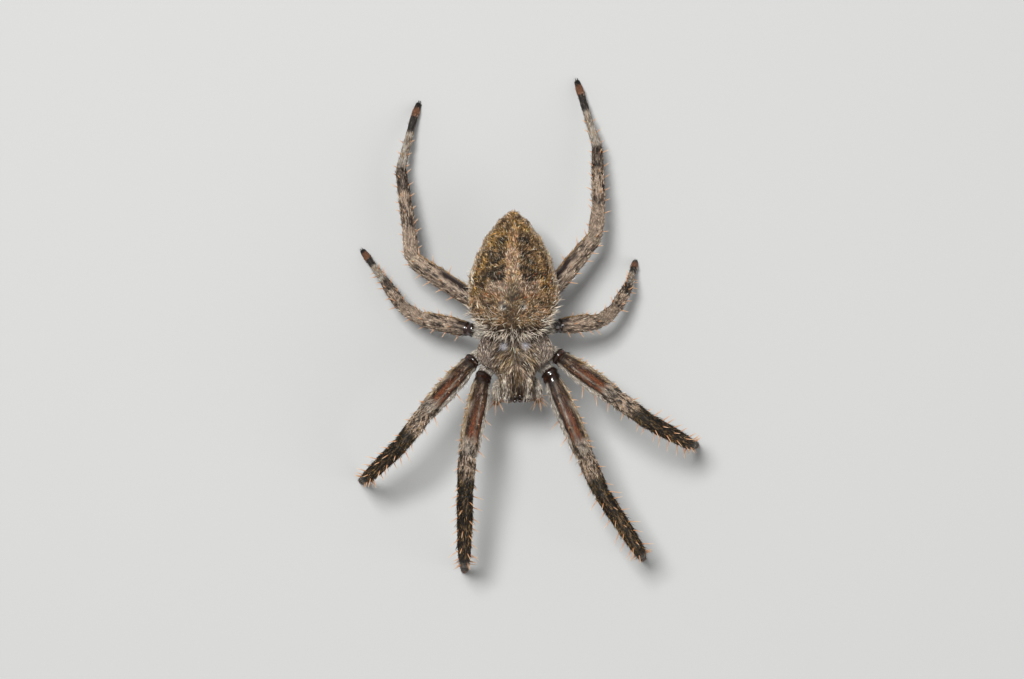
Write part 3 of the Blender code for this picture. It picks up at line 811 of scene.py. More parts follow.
def sternum_colour(spots):
    return mix(DARK_BROWN, BROWN, ramp(noise(spots.points, 0.4, 71), 0.35, 0.7) * 0.6)


def skin_colour(surface):
    """Marking colour of the hair at each point of a surface. The skin under it is the same, darkened as
    painted shade under the hair.
    """
    spots = surface.every_point()
    if surface.number:
        return leg_colour(spots, surface.number)
    kinds = {"abdomen": abdomen_colour, "carapace": carapace_colour, "palp": palp_colour}
    return kinds.get(surface.name.split("_")[0], sternum_colour)(spots)


# ------------------------------------------------------------ meshes

def add_piece(name, points, faces, materials, replaced=(), tint=None, uv=None, origin=None):
    """One piece from body-frame points, with its materials and the nodes that it replaces.

    faces is a list of index arrays, each with a column for each corner of its faces. With an origin,
    the points are measured from it, and so is the grain of the material.
    """
    mesh = bpy.data.meshes.new(name)
    points = np.asarray(points, float).reshape(-1, 3)
    points = (points + OFFSET if origin is None else points) * MM
    sizes = np.concatenate([np.full(len(block), block.shape[1]) for block in faces])
    corners = np.concatenate([block.ravel() for block in faces])
    for parts, count, key, values in (
            (mesh.vertices, len(points), "co", points.astype(np.float32)),
            (mesh.loops, len(corners), "vertex_index", corners.astype(np.int32)),
            (mesh.polygons, len(sizes), "loop_start", (np.cumsum(sizes) - sizes).astype(np.int32))):
        parts.add(count)
        parts.foreach_set(key, values.ravel())
    mesh.update(calc_edges=True)
    mesh.polygons.foreach_set("use_smooth", np.ones(len(sizes), bool))
    if tint is not None:
        rgba = np.ones((len(points), 4), np.float32)
        rgba[:, :3] = np.clip(tint.reshape(-1, 3), 0, 1)
        mesh.color_attributes.new("tint", "FLOAT_COLOR", "POINT").data.foreach_set("color", rgba.ravel())
    if uv is not None:
        mesh.uv_layers.new(name="OFBake").uv.foreach_set("vector", uv.astype(np.float32).ravel())
    for material in materials:
        mesh.materials.append(material)
    piece = bpy.data.objects.new(name, mesh)
    bpy.context.scene.collection.objects.link(piece)
    if origin is not None:
        piece.location = (origin + OFFSET) * MM
    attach(piece, "root")
    if replaced:
        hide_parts(*replaced)
    return piece


def grid_quads(index):
    """Faces between the rows of a grid of point numbers that closes round its columns."""
    after = np.roll(index, -1, 1)
    return np.stack([index[:-1], after[:-1], after[1:], index[1:]], -1).reshape(-1, 4)


def facing(surface):
    """1 where faces made in grid order look outward, and -1 where they look inward."""
    p = surface.points
    face = np.cross(np.roll(p, -1, 1)[:-1] - p[:-1], p[1:] - p[:-1])
    return 1 if (face * surface.normals[:-1]).sum() > 0 else -1


def grid_uv(surface):
    """Corners of each face of a surface on the unwrap, in grid order."""
    rows, columns = surface.points.shape[:2]
    low_u, low_v, high_u, high_v = surface.box
    u = low_u + (high_u - low_u) * (0.01 + 0.98 * np.arange(columns + 1) / columns)
    v = low_v + (high_v - low_v) * (0.01 + 0.98 * np.arange(rows) / (rows - 1))
    grid = np.stack(np.meshgrid(u, v), -1)
    return np.stack([grid[:-1, :-1], grid[:-1, 1:], grid[1:, 1:], grid[1:, :-1]], 2).reshape(-1, 4, 2)


def build_skin(surfaces, materials, replaced):
    """Joins every surface into one closed-ended skin with its markings and its unwrap."""
    points, colours, quads, shell, uvs, fans = [], [], [], [], [], []
    for surface in surfaces:
        rows, columns = surface.points.shape[:2]
        index = sum(map(len, points)) + np.arange(rows * columns).reshape(rows, columns)
        bare = bare_shell(surface, surface.number) if surface.number else np.zeros((rows, columns))
        way = facing(surface)
        quads.append(grid_quads(index)[:, ::way])
        uvs.append(grid_uv(surface)[:, ::way].reshape(-1, 2))
        for cap in (index[0], index[-1]):
            fans.append(np.stack([np.full(len(cap) - 2, cap[0]), cap[1:-1], cap[2:]], -1))
        # the skin under the hair is darkened as painted shade, and bare shell keeps its full colour
        colours.append(skin_colour(surface) * (SKIN_PAINTED_SHADE + (1 - SKIN_PAINTED_SHADE) * bare.reshape(-1, 1)))
        shell.append(bare[:-1].ravel() > 0.5)
        points.append(surface.points.reshape(-1, 3))
    fans = np.concatenate(fans)
    uvs.append(np.tile([[0.99, 0.99], [0.995, 0.99], [0.99, 0.995]], (len(fans), 1)))
    skin = add_piece("skin", np.concatenate(points), [np.concatenate(quads), fans], materials,
                     replaced, np.concatenate(colours), np.concatenate(uvs))
    glossy = np.concatenate([*shell, np.zeros(len(fans), bool)])
    skin.data.polygons.foreach_set("material_index", glossy.astype(np.int32))


# ------------------------------------------------------------ hair

PATCH = 0.003  # size of one hair's patch on the unwrap
LOWEST_HAIR = 0.035  # least height of a hair's middle line above the floor
ROOT_DEPTH = 0.02  # how far under the skin a hair starts
TAPER = 0.4  # share of its width that a hair would lose from root to tip, if the tip did not close it
HAIR_PAINTED_SHADING = (0.55, 1.0, 1.15)  # how bright a hair is at its root, from halfway, and at its point: painted shade darkens the root
STRAIGHT = (0.0,)  # levels of the rings of a straight hair, and of one with a bend halfway
BENT = (0.0, 0.5)

# Layers of the coat: name, how many hairs, length, width, lift in degrees, levels and how bright they are,
# which is painted shade in the lower layer and painted highlight in the upper one.
# On the abdomen the last number is how far the hairs turn from their lie, in degrees.
ABDOMEN_LAYERS = (("under", 42000, 0.26, 0.036, 10, STRAIGHT, 0.40, 26),
                  ("over", 18000, 0.33, 0.040, 24, BENT, 1.42, 34))
CARAPACE_LAYERS = (("under", 28000, 0.24, 0.030, 8, STRAIGHT, 0.36),
                   ("over", 7600, 0.56, 0.036, 11, BENT, 1.45))
PALP_LAYERS = (("short", 2800, 0.20, 14, STRAIGHT),  # without width and brightness
               ("long", 420, 0.34, 30, BENT))
FRINGE_HAIRS = 350
FACE_BRISTLES = 56
WHORL = 1.8  # place along the body that the hair in front of the abdomen points away from

HAIR_LENGTH = (0.34, 0.36, 0.27, 0.27, 0.24, 0.18)  # on the legs, coxa to tarsus
HAIR_WIDTH = (0.036, 0.032, 0.038, 0.038, 0.030, 0.026)
HAIR_LIFT = (18, 7, 11, 11, 8, 9)
LEG_HAIRS = {1: (17500, 1150), 2: (16000, 1100), 3: (8500, 650), 4: (13500, 850)}  # lying, and standing


def grow(name, hairs, coat, levels=BENT):
    """Closed three-sided tapered hairs with a ring at each level and a point at the end.

    The heading of hairs is the lie of the coat, and lift and curl are in degrees.
    coat is the material and the name of a slot in the record; the slot's name is not used.
    """
    count, rings = len(hairs), len(levels)
    heading = in_skin(hairs.heading, hairs.normals)
    across = np.cross(hairs.normals, heading)
    centres, ways = [hairs.points - hairs.normals * ROOT_DEPTH], []
    for k, step in enumerate(np.diff((*levels, 1.0))):
        rise = np.radians(hairs.lift - hairs.curl * k)[:, None]
        ways.append(heading * np.cos(rise) + hairs.normals * np.sin(rise))
        centre = centres[-1] + ways[-1] * (hairs.length * step)[:, None]
        centre[:, 2] = np.maximum(centre[:, 2], LOWEST_HAIR)
        centres.append(centre)
    points = []
    for centre, way, level in zip(centres, ways, levels):
        above = np.cross(across, way)
        size = (0.5 * hairs.width * (1 - TAPER * level))[:, None]
        for angle in np.radians([-90, 30, 150]):
            points.append(centre + (across * math.cos(angle) + above * math.sin(angle)) * size)
    base = (3 * rings + 1) * np.arange(count)[:, None]
    around = [(j, (j + 1) % 3) for j in range(3)]
    sides = [base + 3 * k + np.array([a, b, 3 + b, 3 + a]) for k in range(rings - 1) for a, b in around]
    tips = [base + 3 * rings - 3 + np.array([a, b, 3]) for a, b in around]
    faces = [np.stack(sides, 1).reshape(-1, 4)] if sides else []
    faces.append(np.stack([*tips, base + np.array([0, 2, 1])], 1).reshape(-1, 3))
    # painted shade darkens each hair's root; the hair has full colour from halfway and is lighter at its
    # point
    painted_shading = [*np.repeat(np.interp(levels, (0, 0.5), HAIR_PAINTED_SHADING[:2]), 3), HAIR_PAINTED_SHADING[2]]
    tint = np.stack([hairs.colour * shade for shade in painted_shading], 1)
    material, slot = coat
    add_piece(name, np.stack([*points, centres[-1]], 1), faces, [material], (), tint,
              hair_uv(hairs.uv, rings))


def hair_uv(roots, rings):
    """Each hair's faces laid side by side in strips of a small patch at its root's place on the unwrap."""
    strip, height = PATCH / 4, PATCH * (rings - 1) / rings
    lefts = [(j * strip, (j + 1) * strip) for j in range(3)]
    sides = [((a, 0), (b, 0), (b, height), (a, height)) for a, b in lefts]
    tips = [((a, height), (b, height), ((j + 0.5) * strip, PATCH)) for j, (a, b) in enumerate(lefts)]
    tips.append(((3 * strip, 0), (3.5 * strip, strip), (4 * strip, 0)))
    roots = np.clip(roots, 0, 1 - PATCH)[:, None, None, :]
    blocks = [sides, tips] if rings > 1 else [tips]
    return np.concatenate([(roots + np.array(block)).reshape(-1, 2) for block in blocks])


def grizzled(colour, rng, dark, pale, amount, pale_colour=CREAM):
    """Some hairs dark, some pale, and each a little lighter or darker than the marking under it."""
    pick = rng.random(len(colour))
    colour = paint(colour, (DARK_BROWN, (pick < dark) * 0.80), (pale_colour, (pick > 1 - pale) * 0.60))
    return colour * np.exp(rng.normal(-0.05, amount, len(colour)))[:, None]


def spread(rng, count, middle, share):
    return middle * (1 + rng.uniform(-share, share, count))


def scatter(heading, places, rng, degrees, swirl=0, swirl_size=0.6):
    """Turns each heading in the plane of the skin, partly at random and partly with its neighbours."""
    drift = (noise(places.points, swirl_size, 91) - 0.5) * 2 * swirl
    turn = np.radians(rng.normal(0, degrees, len(places)) + drift)[:, None]
    flat = in_skin(heading, places.normals)
    return flat * np.cos(turn) + np.cross(places.normals, flat) * np.sin(turn)


def abdomen_lie(x, y):
    """Tailward and outward from the middle line, like rays round the whorl, and outward at the tail's end."""
    back = np.stack([0.75 * np.clip(x / 0.6, -1, 1), 0 * x + 1, 0 * x - 0.3], 1)
    rays = np.stack([x, y - WHORL, 0 * x], 1)
    share = np.maximum(ramp(y, 3.0, 1.6), 0.8 * ramp(np.abs(x), 2.4, 3.2) * ramp(y, 5.5, 3.5))[:, None]
    tail = ramp(y, 9.2, 9.9)[:, None] * np.stack([x * 1.2, 0 * x, 0 * x], 1)
    return unit(back) * (1 - share) + unit(rays) * share + tail


def from_spot(points):
    return np.hypot(np.abs(points[..., 0]) - SPOT[0], points[..., 1] - SPOT[1])


def coat_abdomen(surface, coat, rng):
    """A lower layer darkened as painted shade and a rougher upper one brightened as painted highlight, both
    short.
    """
    density = 0.35 + 0.65 * ramp(surface.up, -0.5, 0.3)
    density = density * (1 - ramp(from_spot(surface.points), 0.17, 0.12) * (surface.up > 0))
    for part, count, length, width, lift, levels, shade, loose in ABDOMEN_LAYERS:
        hairs = surface.sample(count, rng, density)
        x, y = hairs.points[:, 0], hairs.points[:, 1]
        speck = (rng.random(count) < 0.020) * ramp(y, 7.5, 5.0) * ramp(y, 2.0, 2.6)
        colour = mix(abdomen_colour(hairs), ORANGE_SPECK, speck * 0.8)
        # shade darkens the lower layer as painted shade and brightens the upper one as painted highlight
        hairs.colour = grizzled(colour, rng, 0.24, 0.09, 0.42) * shade
        looser = 1 + 2.5 * ramp(np.hypot(x, y - WHORL), 1.1, 0.3)
        hairs.heading = scatter(abdomen_lie(x, y), hairs, rng, loose * looser, 40, 0.4)
        beside_spot = 0.18 + 0.82 * ramp(from_spot(hairs.points), 0.18, 0.55)
        hairs.length = spread(rng, count, length, 0.35) * beside_spot
        hairs.width = spread(rng, count, width, 0.3)
        hairs.lift = rng.normal(lift, 7, count).clip(2, 50)
        hairs.curl = rng.normal(10, 8, count)
        grow(f"coat_abdomen_{part}", hairs, coat, levels)


def coat_fringe(surface, coat, rng):
    """Long pale hairs round the front and along the edges of the abdomen, standing straight out from it."""
    y, up = surface.points[..., 1], surface.up
    density = hill(up, 0.48, 0.34) * ramp(y, 3.0, 1.8)
    density = density + 0.40 * hill(up, 0.30, 0.20) * ramp(y, 5.6, 4.2) * ramp(y, 1.8, 3.0)
    density = density + 0.10 * hill(up, 0.15, 0.20) * ramp(y, 9.8, 9.0) * ramp(y, 4.2, 5.6)
    count = FRINGE_HAIRS
    hairs = surface.sample(count, rng, density)
    x, y = hairs.points[:, 0], hairs.points[:, 1]
    hairs.length = spread(rng, count, 1, 0.35) * (0.42 + 0.38 * ramp(y, 6.0, 3.0))
    hairs.colour = grizzled(np.tile(FRINGE, (count, 1)), rng, 0.18, 0.20, 0.30, WHITISH)
    bearing = np.arctan2(y - WHORL, x) + np.radians(rng.normal(0, 28, count))
    slope = np.tan(np.radians(rng.normal(12, 12, count)))
    hairs.heading = unit(np.stack([np.cos(bearing), np.sin(bearing), slope], 1))
    rise = (hairs.heading * hairs.normals).sum(-1).clip(-1, 1)
    hairs.lift = np.degrees(np.arcsin(rise)).clip(8, 70)
    hairs.width = spread(rng, count, 0.046, 0.25)
    hairs.curl = rng.normal(3, 4, count)
    grow("coat_abdomen_fringe", hairs, coat)


def carapace_lie(x, y):
    """From the pit forward and outward like a fountain, then straight along the head and down its face."""
    side = np.abs(x)
    fan = 0.80 * ramp(y, -2.4, -1.0) * ramp(side, 0.0, 0.30)
    flank = ramp(side, 1.5, 2.2)
    outward = fan * (1 - flank) - 0.35 * flank
    return turned_way(np.stack([np.sign(x) * outward, 0 * x - 1, -0.5 * ramp(y, -3.6, -4.0)], 1))


def near_eyes(points, eyes, gap):
    """True for each point closer than the gap to one of the eyes."""
    return np.any([np.linalg.norm(points - centre, axis=1) < radius + gap for _, centre, radius in eyes], 0)


def painted_reflection_at(x, y):
    """1 in the two pale patches beside the pit, a painted reflection of the light on the shell, where only
    short hair grows.
    """
    return ramp(np.abs(x - 0.70), 0.50, 0.32) * ramp(y, -0.45, -0.25) * ramp(y, 0.60, 0.40)


def coat_carapace(surface, eyes, coat, rng):
    """A lower layer darkened as painted shade, and longer strands brightened as painted highlight over it
    that leave the eyes and the painted reflection patches clear.
    """
    x, y = np.abs(surface.x), surface.y
    pit = hill(x, 0, 0.12) * ramp(y, -1.4, -1.1)
    density = ramp(surface.up, -0.6, -0.1) * (1 - 0.92 * pit)
    brow = ramp(x, 0.60, 0.45) * ramp(y, -3.60, -3.80)
    density = density * (1 - 0.25 * brow) * (1 - 0.8 * ramp(y, 0.5, 0.9))
    # patch marks the painted reflection patches, where the upper layer is left out
    patch = painted_reflection_at(x, y)
    for part, count, length, width, lift, levels, shade in CARAPACE_LAYERS:
        hairs = surface.sample(count, rng, density * (1 - 0.95 * patch * (part == "over")))
        hairs.heading = scatter(carapace_lie(hairs.x, hairs.y), hairs, rng, 7, 15, 0.5)
        x, y = np.abs(hairs.x), hairs.y
        hairs.length = spread(rng, count, length, 0.3) * (1 - 0.6 * ramp(y, -3.4, -3.9) * ramp(x, 0.8, 0.5))
        hairs.length = hairs.length * (1 - 0.45 * ramp(x, 1.5, 2.2))
        ends = hairs.points + hairs.heading * hairs.length[:, None]
        hairs = hairs.only(~near_eyes(hairs.points, eyes, 0.02) & ~near_eyes(ends, eyes, 0.0))
        count, x, y = len(hairs), np.abs(hairs.x), hairs.y
        # bright marks the painted reflection patches, where the hair keeps its full colour
        bright = painted_reflection_at(x, y)
        on_head = ramp(x, 0.72, 0.55) * ramp(y, -1.6, -2.2)
        colour = carapace_colour(hairs)
        colour = grizzled(colour, rng, 0.42 * (1 - bright), 0.20 - 0.10 * on_head, 0.45, HEAD_STRAND)
        # shade darkens the lower layer as painted shade and brightens the upper one as painted highlight,
        # except on the painted reflection patches
        hairs.colour = colour * (shade + (1 - shade) * bright)[:, None]
        hairs.width = spread(rng, count, width, 0.3)
        hairs.lift = rng.normal(lift, 4, count).clip(2, 35)
        hairs.curl = rng.normal(8, 5, count)
        grow(f"coat_carapace_{part}", hairs, coat, levels)


def coat_face(surface, coat, rng):
    """White bristles at the front corners of the head that point forward, outward and down."""
    x, y, count = np.abs(surface.x), surface.y, FACE_BRISTLES
    density = hill(x, 0.84, 0.16) * ramp(y, -3.2, -3.5) * ramp(surface.up, 0.1, 0.5)
    hairs = surface.sample(count, rng, density)
    local = np.stack([0.35 * np.sign(hairs.x), np.full(count, -1.0), np.full(count, -0.3)], 1)
    hairs.colour = grizzled(np.tile(WHITISH, (count, 1)), rng, 0.0, 0.3, 0.12) * 1.15
    hairs.heading = scatter(turned_way(local), hairs, rng, 13)
    hairs.length = spread(rng, count, 0.72, 0.3)
    hairs.width = spread(rng, count, 0.056, 0.2)
    hairs.lift, hairs.curl = rng.normal(18, 6, count), rng.normal(20, 6, count)
    grow("coat_face_bristles", hairs, coat)


def grow_group(name, group, coat, rng, levels=STRAIGHT):
    """One piece from the hairs of several surfaces."""
    hairs = Places(**{key: np.concatenate([getattr(part, key) for part in group]) for key in
                      ("points", "normals", "uv", "heading", "length", "width", "lift", "colour")})
    hairs.width = hairs.width * rng.uniform(0.75, 1.3, len(hairs))
    hairs.curl = rng.normal(6, 5, len(hairs))
    grow(name, hairs, coat, levels)


def leg_hairs(surface, rng, standing):
    """What one leg adds to a coat piece."""
    number, count = surface.number, LEG_HAIRS[surface.number][standing]
    hairs = surface.sample(count, rng, 1 - 0.97 * bare_shell(surface, number))
    piece = hairs.piece
    shaggy = (piece >= PATELLA) * (1.0 if number < 3 else 0.35)
    hairs.colour = grizzled(leg_colour(hairs, number), rng, 0.16 + 0.06 * shaggy, 0.08 + 0.03 * shaggy, 0.36,
                            GOLD if number < 3 else PALE_PINK)
    hairs.heading = scatter(hairs.along, hairs, rng, 6 + 10 * shaggy.mean(), 12, 0.4)
    length = np.choose(piece, HAIR_LENGTH) * rng.uniform(0.65, 1.3, count)
    lift = rng.normal(0, 3, count) + np.choose(piece, HAIR_LIFT) + 5 * shaggy
    if standing:
        length = length * (1.20 + 0.30 * shaggy)
        lift = lift + rng.normal(16, 7, count)
    clear = np.where(piece == TARSUS, np.minimum(1, hairs.points[:, 2] * 2.5 + 0.25), 1.0)
    hairs.length, hairs.lift = length * clear, lift.clip(2, 65) * clear
    hairs.width = np.choose(piece, HAIR_WIDTH)
    return hairs


def coat_legs(legs, coat, rng):
    """One lying coat piece for each pair of legs, and one of longer curved hairs over all of them."""
    for number in LEG_HAIRS:
        group = [leg_hairs(surface, rng, False) for surface in legs if surface.number == number]
        grow_group(f"coat_legs_{number}", group, coat, rng)
    grow_group("coat_legs_long", [leg_hairs(surface, rng, True) for surface in legs], coat, rng, BENT)


def brushed(hairs, rng, heading, colour, length, width, lift):
    """The hairs with their sizes: length is (middle, share), and lift is (middle, deviation, least, most)."""
    count = len(hairs)
    hairs.heading, hairs.colour, hairs.width = heading, colour, np.full(count, width)
    hairs.length = spread(rng, count, *length)
    hairs.lift = rng.normal(*lift[:2], count).clip(*lift[2:])
    return hairs


def coat_palps(palps, coat, rng):
    for name, count, length, lift, levels in PALP_LAYERS:
        group = []
        for surface in palps:
            hairs = surface.sample(count, rng)
            colour = grizzled(palp_colour(hairs), rng, 0.18, 0.15, 0.30)
            heading = scatter(hairs.along, hairs, rng, 12)
            group.append(brushed(hairs, rng, heading, colour, (length, 0.3), 0.032, (lift, 6, 3, 60)))
        grow_group(f"coat_palps_{name}", group, coat, rng, levels)


def coat_below(blocks, coat, rng):
    """Sparse dark and pale hair on the breast plate, the mouthparts and the waist, lying towards the tail."""
    group = []
    for surface in blocks:
        hairs = surface.sample(1300, rng)
        heading = scatter(np.array([0, 1.0, -0.2]), hairs, rng, 22)
        colour = grizzled(sternum_colour(hairs), rng, 0.3, 0.20, 0.35, TAN)
        group.append(brushed(hairs, rng, heading, colour, (0.24, 0.35), 0.030, (16, 6, 4, 40)))
    grow_group("coat_below", group, coat, rng)


def coat_jaws(jaws, coat, rng):
    """Thin hair down the front of the chelicerae, denser at the root."""
    group = []
    for surface in jaws:
        down = np.linspace(0, 1, len(surface.points))[:, None]
        density = (1.3 - down) * (0.35 + 0.65 * ramp(surface.normals[..., 1], 0.5, -0.5))
        hairs = surface.sample(750, rng, density)
        colour = grizzled(np.tile(BROWN, (len(hairs), 1)), rng, 0.4, 0.35, 0.3)
        heading = scatter(-UP, hairs, rng, 14)
        group.append(brushed(hairs, rng, heading, colour, (0.26, 0.35), 0.024, (22, 7, 5, 45)))
    grow_group("coat_jaws", group, coat, rng, BENT)


# ------------------------------------------------------------ spines

# Rows of spines: piece, first and last place, how many, angle round the leg from its back, length.
FRONT_SPINES = (
    (FEMUR, 0.30, 0.66, 5, -84, 0.55), (FEMUR, 0.52, 0.93, 3, 84, 1.0), (FEMUR, 0.88, 0.94, 2, -70, 0.6),
    (FEMUR, 0.40, 0.90, 3, 5, 0.4), (PATELLA, 0.35, 0.85, 2, 80, 0.75), (PATELLA, 0.35, 0.85, 2, -80, 0.7),
    (TIBIA, 0.06, 0.94, 6, 80, 1.05), (TIBIA, 0.03, 0.90, 6, -80, 1.05), (TIBIA, 0.15, 0.90, 4, 25, 0.75),
    (TIBIA, 0.25, 0.85, 3, -30, 0.7), (TIBIA, 0.1, 0.9, 5, 150, 0.9), (METATARSUS, 0.04, 0.6, 4, 75, 0.8),
    (METATARSUS, 0.06, 0.6, 4, -75, 0.8), (METATARSUS, 0.05, 0.3, 2, 20, 0.7))
SPINE_ROWS = {
    1: FRONT_SPINES,
    2: FRONT_SPINES,
    3: ((FEMUR, 0.30, 0.92, 4, 78, 0.7), (FEMUR, 0.45, 0.92, 3, -78, 0.6), (FEMUR, 0.4, 0.9, 2, 0, 0.5),
        (PATELLA, 0.45, 0.8, 1, 80, 0.6), (PATELLA, 0.45, 0.8, 1, -80, 0.6),
        (TIBIA, 0.12, 0.85, 3, 78, 0.75), (TIBIA, 0.12, 0.85, 3, -78, 0.7), (TIBIA, 0.2, 0.8, 2, 10, 0.5),
        (METATARSUS, 0.08, 0.5, 3, 75, 0.6), (METATARSUS, 0.08, 0.5, 3, -75, 0.6)),
    4: ((FEMUR, 0.42, 0.95, 5, 75, 0.75), (FEMUR, 0.60, 0.95, 3, -75, 0.8), (FEMUR, 0.55, 0.95, 2, 0, 0.5),
        (PATELLA, 0.25, 0.8, 2, 80, 0.7), (PATELLA, 0.3, 0.85, 2, -80, 0.7),
        (TIBIA, 0.08, 0.90, 5, 80, 0.65), (TIBIA, 0.08, 0.90, 5, -80, 0.65), (TIBIA, 0.2, 0.85, 3, 10, 0.5),
        (METATARSUS, 0.05, 0.5, 3, 75, 0.55), (METATARSUS, 0.05, 0.5, 3, -75, 0.55)),
}
PALP_SPINES = ((1, 0.3, 0.9, 2, 60, 0.5), (2, 0.02, 0.55, 4, 60, 1.0), (2, 0.02, 0.55, 4, -60, 1.0),
               (2, 0.02, 0.5, 4, 15, 1.1), (2, 0.02, 0.4, 3, -25, 1.1), (2, 0.1, 0.4, 2, 110, 0.7),
               (2, 0.1, 0.4, 2, -110, 0.7))
SPINE_SIDES = 6
SPINE_LEVELS = ((0.0, 0.62, 0.0), (0.08, 1.0, 0.15), (0.45, 0.80, 0.45), (0.80, 0.45, 0.8),
                (0.97, 0.14, 1.0))  # place along the spine, thickness and paleness
SPINE_LEAN = (52, 72)  # degrees from the limb
SPINE_THICKNESS = 0.042
PALP_SPINE_THICKNESS = 0.023
SPINE_SAG = 0.04
LOWEST_SPINE = 0.06


def spine_roots(surface, rng):
    """Grid places, directions, lengths and thicknesses of the spines of one limb."""
    roots = []
    columns = surface.points.shape[1]
    sign = 1 if surface.front[0, columns // 4] > 0 else -1
    for piece, low, high, count, angle, length in SPINE_ROWS.get(surface.number, PALP_SPINES):
        for place in np.linspace(low, high, count):
            place = place + rng.uniform(-0.03, 0.03)
            row = np.argmin(np.where(surface.piece[:, 0] == piece, np.abs(surface.part[:, 0] - place), 9))
            column = round((angle * sign + rng.uniform(-9, 9)) / 360 * columns) % columns
            lean = math.radians(rng.uniform(*SPINE_LEAN))
            way = surface.along[row, column] * math.cos(lean) + surface.normals[row, column] * math.sin(lean)
            thickness = SPINE_THICKNESS if surface.number else PALP_SPINE_THICKNESS
            roots.append((surface.points[row, column], way, length * rng.uniform(0.65, 1.05), thickness))
    return roots


def build_spines(limbs, material, rng):
    """Stout tapered spines, orange-brown with pale tips, in rows along the limbs."""
    points, colours, quads, caps = [], [], [], []
    grid = np.arange(SPINE_SIDES * len(SPINE_LEVELS)).reshape(-1, SPINE_SIDES)
    for point, way, length, thickness in [root for surface in limbs for root in spine_roots(surface, rng)]:
        across = unit(np.cross(way, UP + 0.01))
        ring = circle(SPINE_SIDES, across, np.cross(across, way))
        index = SPINE_SIDES * len(points) + grid
        quads.append(grid_quads(index)[:, ::-1])
        caps += [index[:1], index[-1:, ::-1]]
        for level, size, paleness in SPINE_LEVELS:
            centre = point - way * 0.03 + way * length * level - UP * SPINE_SAG * level ** 2 * length
            centre[2] = max(centre[2], LOWEST_SPINE)
            points.append(centre + thickness * size * ring)
            colours.append(mix(SPINE * 0.75, SPINE_TIP, np.full(SPINE_SIDES, paleness ** 1.6)))
    add_piece("spines", np.concatenate(points), [np.concatenate(quads), np.concatenate(caps)], [material],
              tint=np.concatenate(colours))


# ------------------------------------------------------------ eyes, jaws, spinnerets and claws

def add_cone(name, path, radii, sides, material, replaced=()):
    """Closed round tube through a path, tapering by radii."""
    points = []
    across = unit(np.cross(unit(path[1] - path[0]), np.array([0.3, 0.1, 1.0])))
    for i, (centre, radius) in enumerate(zip(path, radii)):
        heading = unit(path[min(i + 1, len(path) - 1)] - path[max(i - 1, 0)])
        across = unit(across - heading * (across @ heading))
        points.append(centre + radius * circle(sides, across, np.cross(across, heading)))
    index = np.arange(sides * len(path)).reshape(len(path), sides)
    quads = grid_quads(index)[:, [0, 3, 2, 1]]
    add_piece(name, np.concatenate(points), [quads, index[:1], index[-1:, ::-1]], [material], replaced)


def level_ring(count):
    return circle(count, np.array([1.0, 0, 0]), np.array([0, 1.0, 0]))


def build_jaw(side, shell, dark):
    """A stout chelicera, round at the top and narrow at its end, where the curved fang folds inward."""
    rows, columns = 40, 36
    path = smooth_through(on_side(side, CHELICERA), rows)
    t = np.linspace(0, 1, rows)
    dome = np.sqrt(1 - np.clip((0.16 - t) / 0.17, 0, 1) ** 2)
    toe = np.sqrt(1 - np.clip((t - 0.88) / 0.13, 0, 1) ** 2)
    ring = level_ring(columns)
    radii = smooth_through(np.array(CHELICERA_RADII) - 0.03, rows) * dome * toe
    points = path[:, None, :] + ring * radii[:, None, None]
    inner = np.sign(path[:, None, 0]) * (path[:, None, 0] - points[..., 0])
    points[..., 1] += 0.05 * ramp(inner, 0.1, 0.4)
    points = points + (noise(points, 0.35, 81) - 0.5)[..., None] * 0.04 * ring
    jaw = Surface(f"chelicera_shell_{side}", points)
    index = np.arange(jaw.points[..., 0].size).reshape(jaw.points.shape[:2])
    way = facing(jaw)
    faces = [grid_quads(index)[:, ::-way], index[:1, ::way], index[-1:, ::-way]]
    add_piece(jaw.name, jaw.points, faces, [shell], [f"chelicera_{side}"])
    fang = smooth_through(on_side(side, FANG), 14)
    add_cone(f"fang_{side}", fang, np.linspace(0.12, 0.015, 14), 14, dark)
    return jaw


def eye_beads():
    """Name, centre and radius of each eye in the body's frame, read off the frame's nodes."""
    beads = []
    for node in [name for name in frame["nodes"] if name.startswith("eye_")]:
        low, high = (np.array(corner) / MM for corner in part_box(node))
        beads.append((node, (low + high) / 2 - OFFSET, (high - low).max() / 2))
    return beads


def build_eyes(beads, material):
    """Smooth bead eyes in place of the faceted ones: rings from the top to the bottom of a ball."""
    steps, columns = 20, 32
    tilt = np.pi * np.arange(1, steps)[:, None, None] / steps
    rings = np.sin(tilt) * level_ring(columns) + np.cos(tilt) * UP
    ball = np.concatenate([rings.reshape(-1, 3), [UP, -UP]])
    index = np.arange(columns * (steps - 1)).reshape(-1, columns)
    fans = [np.stack([np.full(columns, pole), row, np.roll(row, -1)], 1)
            for pole, row in ((index.size, index[0]), (index.size + 1, index[-1, ::-1]))]
    faces = [grid_quads(index)[:, ::-1], *fans]
    for node, centre, radius in beads:
        add_piece(node + "_bead", radius * ball, faces, [material], [node], origin=centre)


def build_claws(legs, material):
    """Two small curved claws at each foot, beside its flat."""
    for surface in legs:
        flat = unit(surface.along[-6].mean(0) * np.array([1, 1, 0]) + 1e-6)
        across = np.cross(flat, UP)
        for k, sign in enumerate((1, -1)):
            start = surface.points[-1].mean(0) - flat * 0.02 + across * 0.07 * sign + UP * 0.20
            path = [start, start + flat * 0.13 + UP * 0.03, start + flat * 0.22 - UP * 0.04,
                    start + flat * 0.25 - UP * 0.14]
            name = f"claw_{surface.name[4:]}_{k + 1}"
            add_cone(name, smooth_through(path, 9), np.linspace(0.045, 0.010, 9), 8, material)


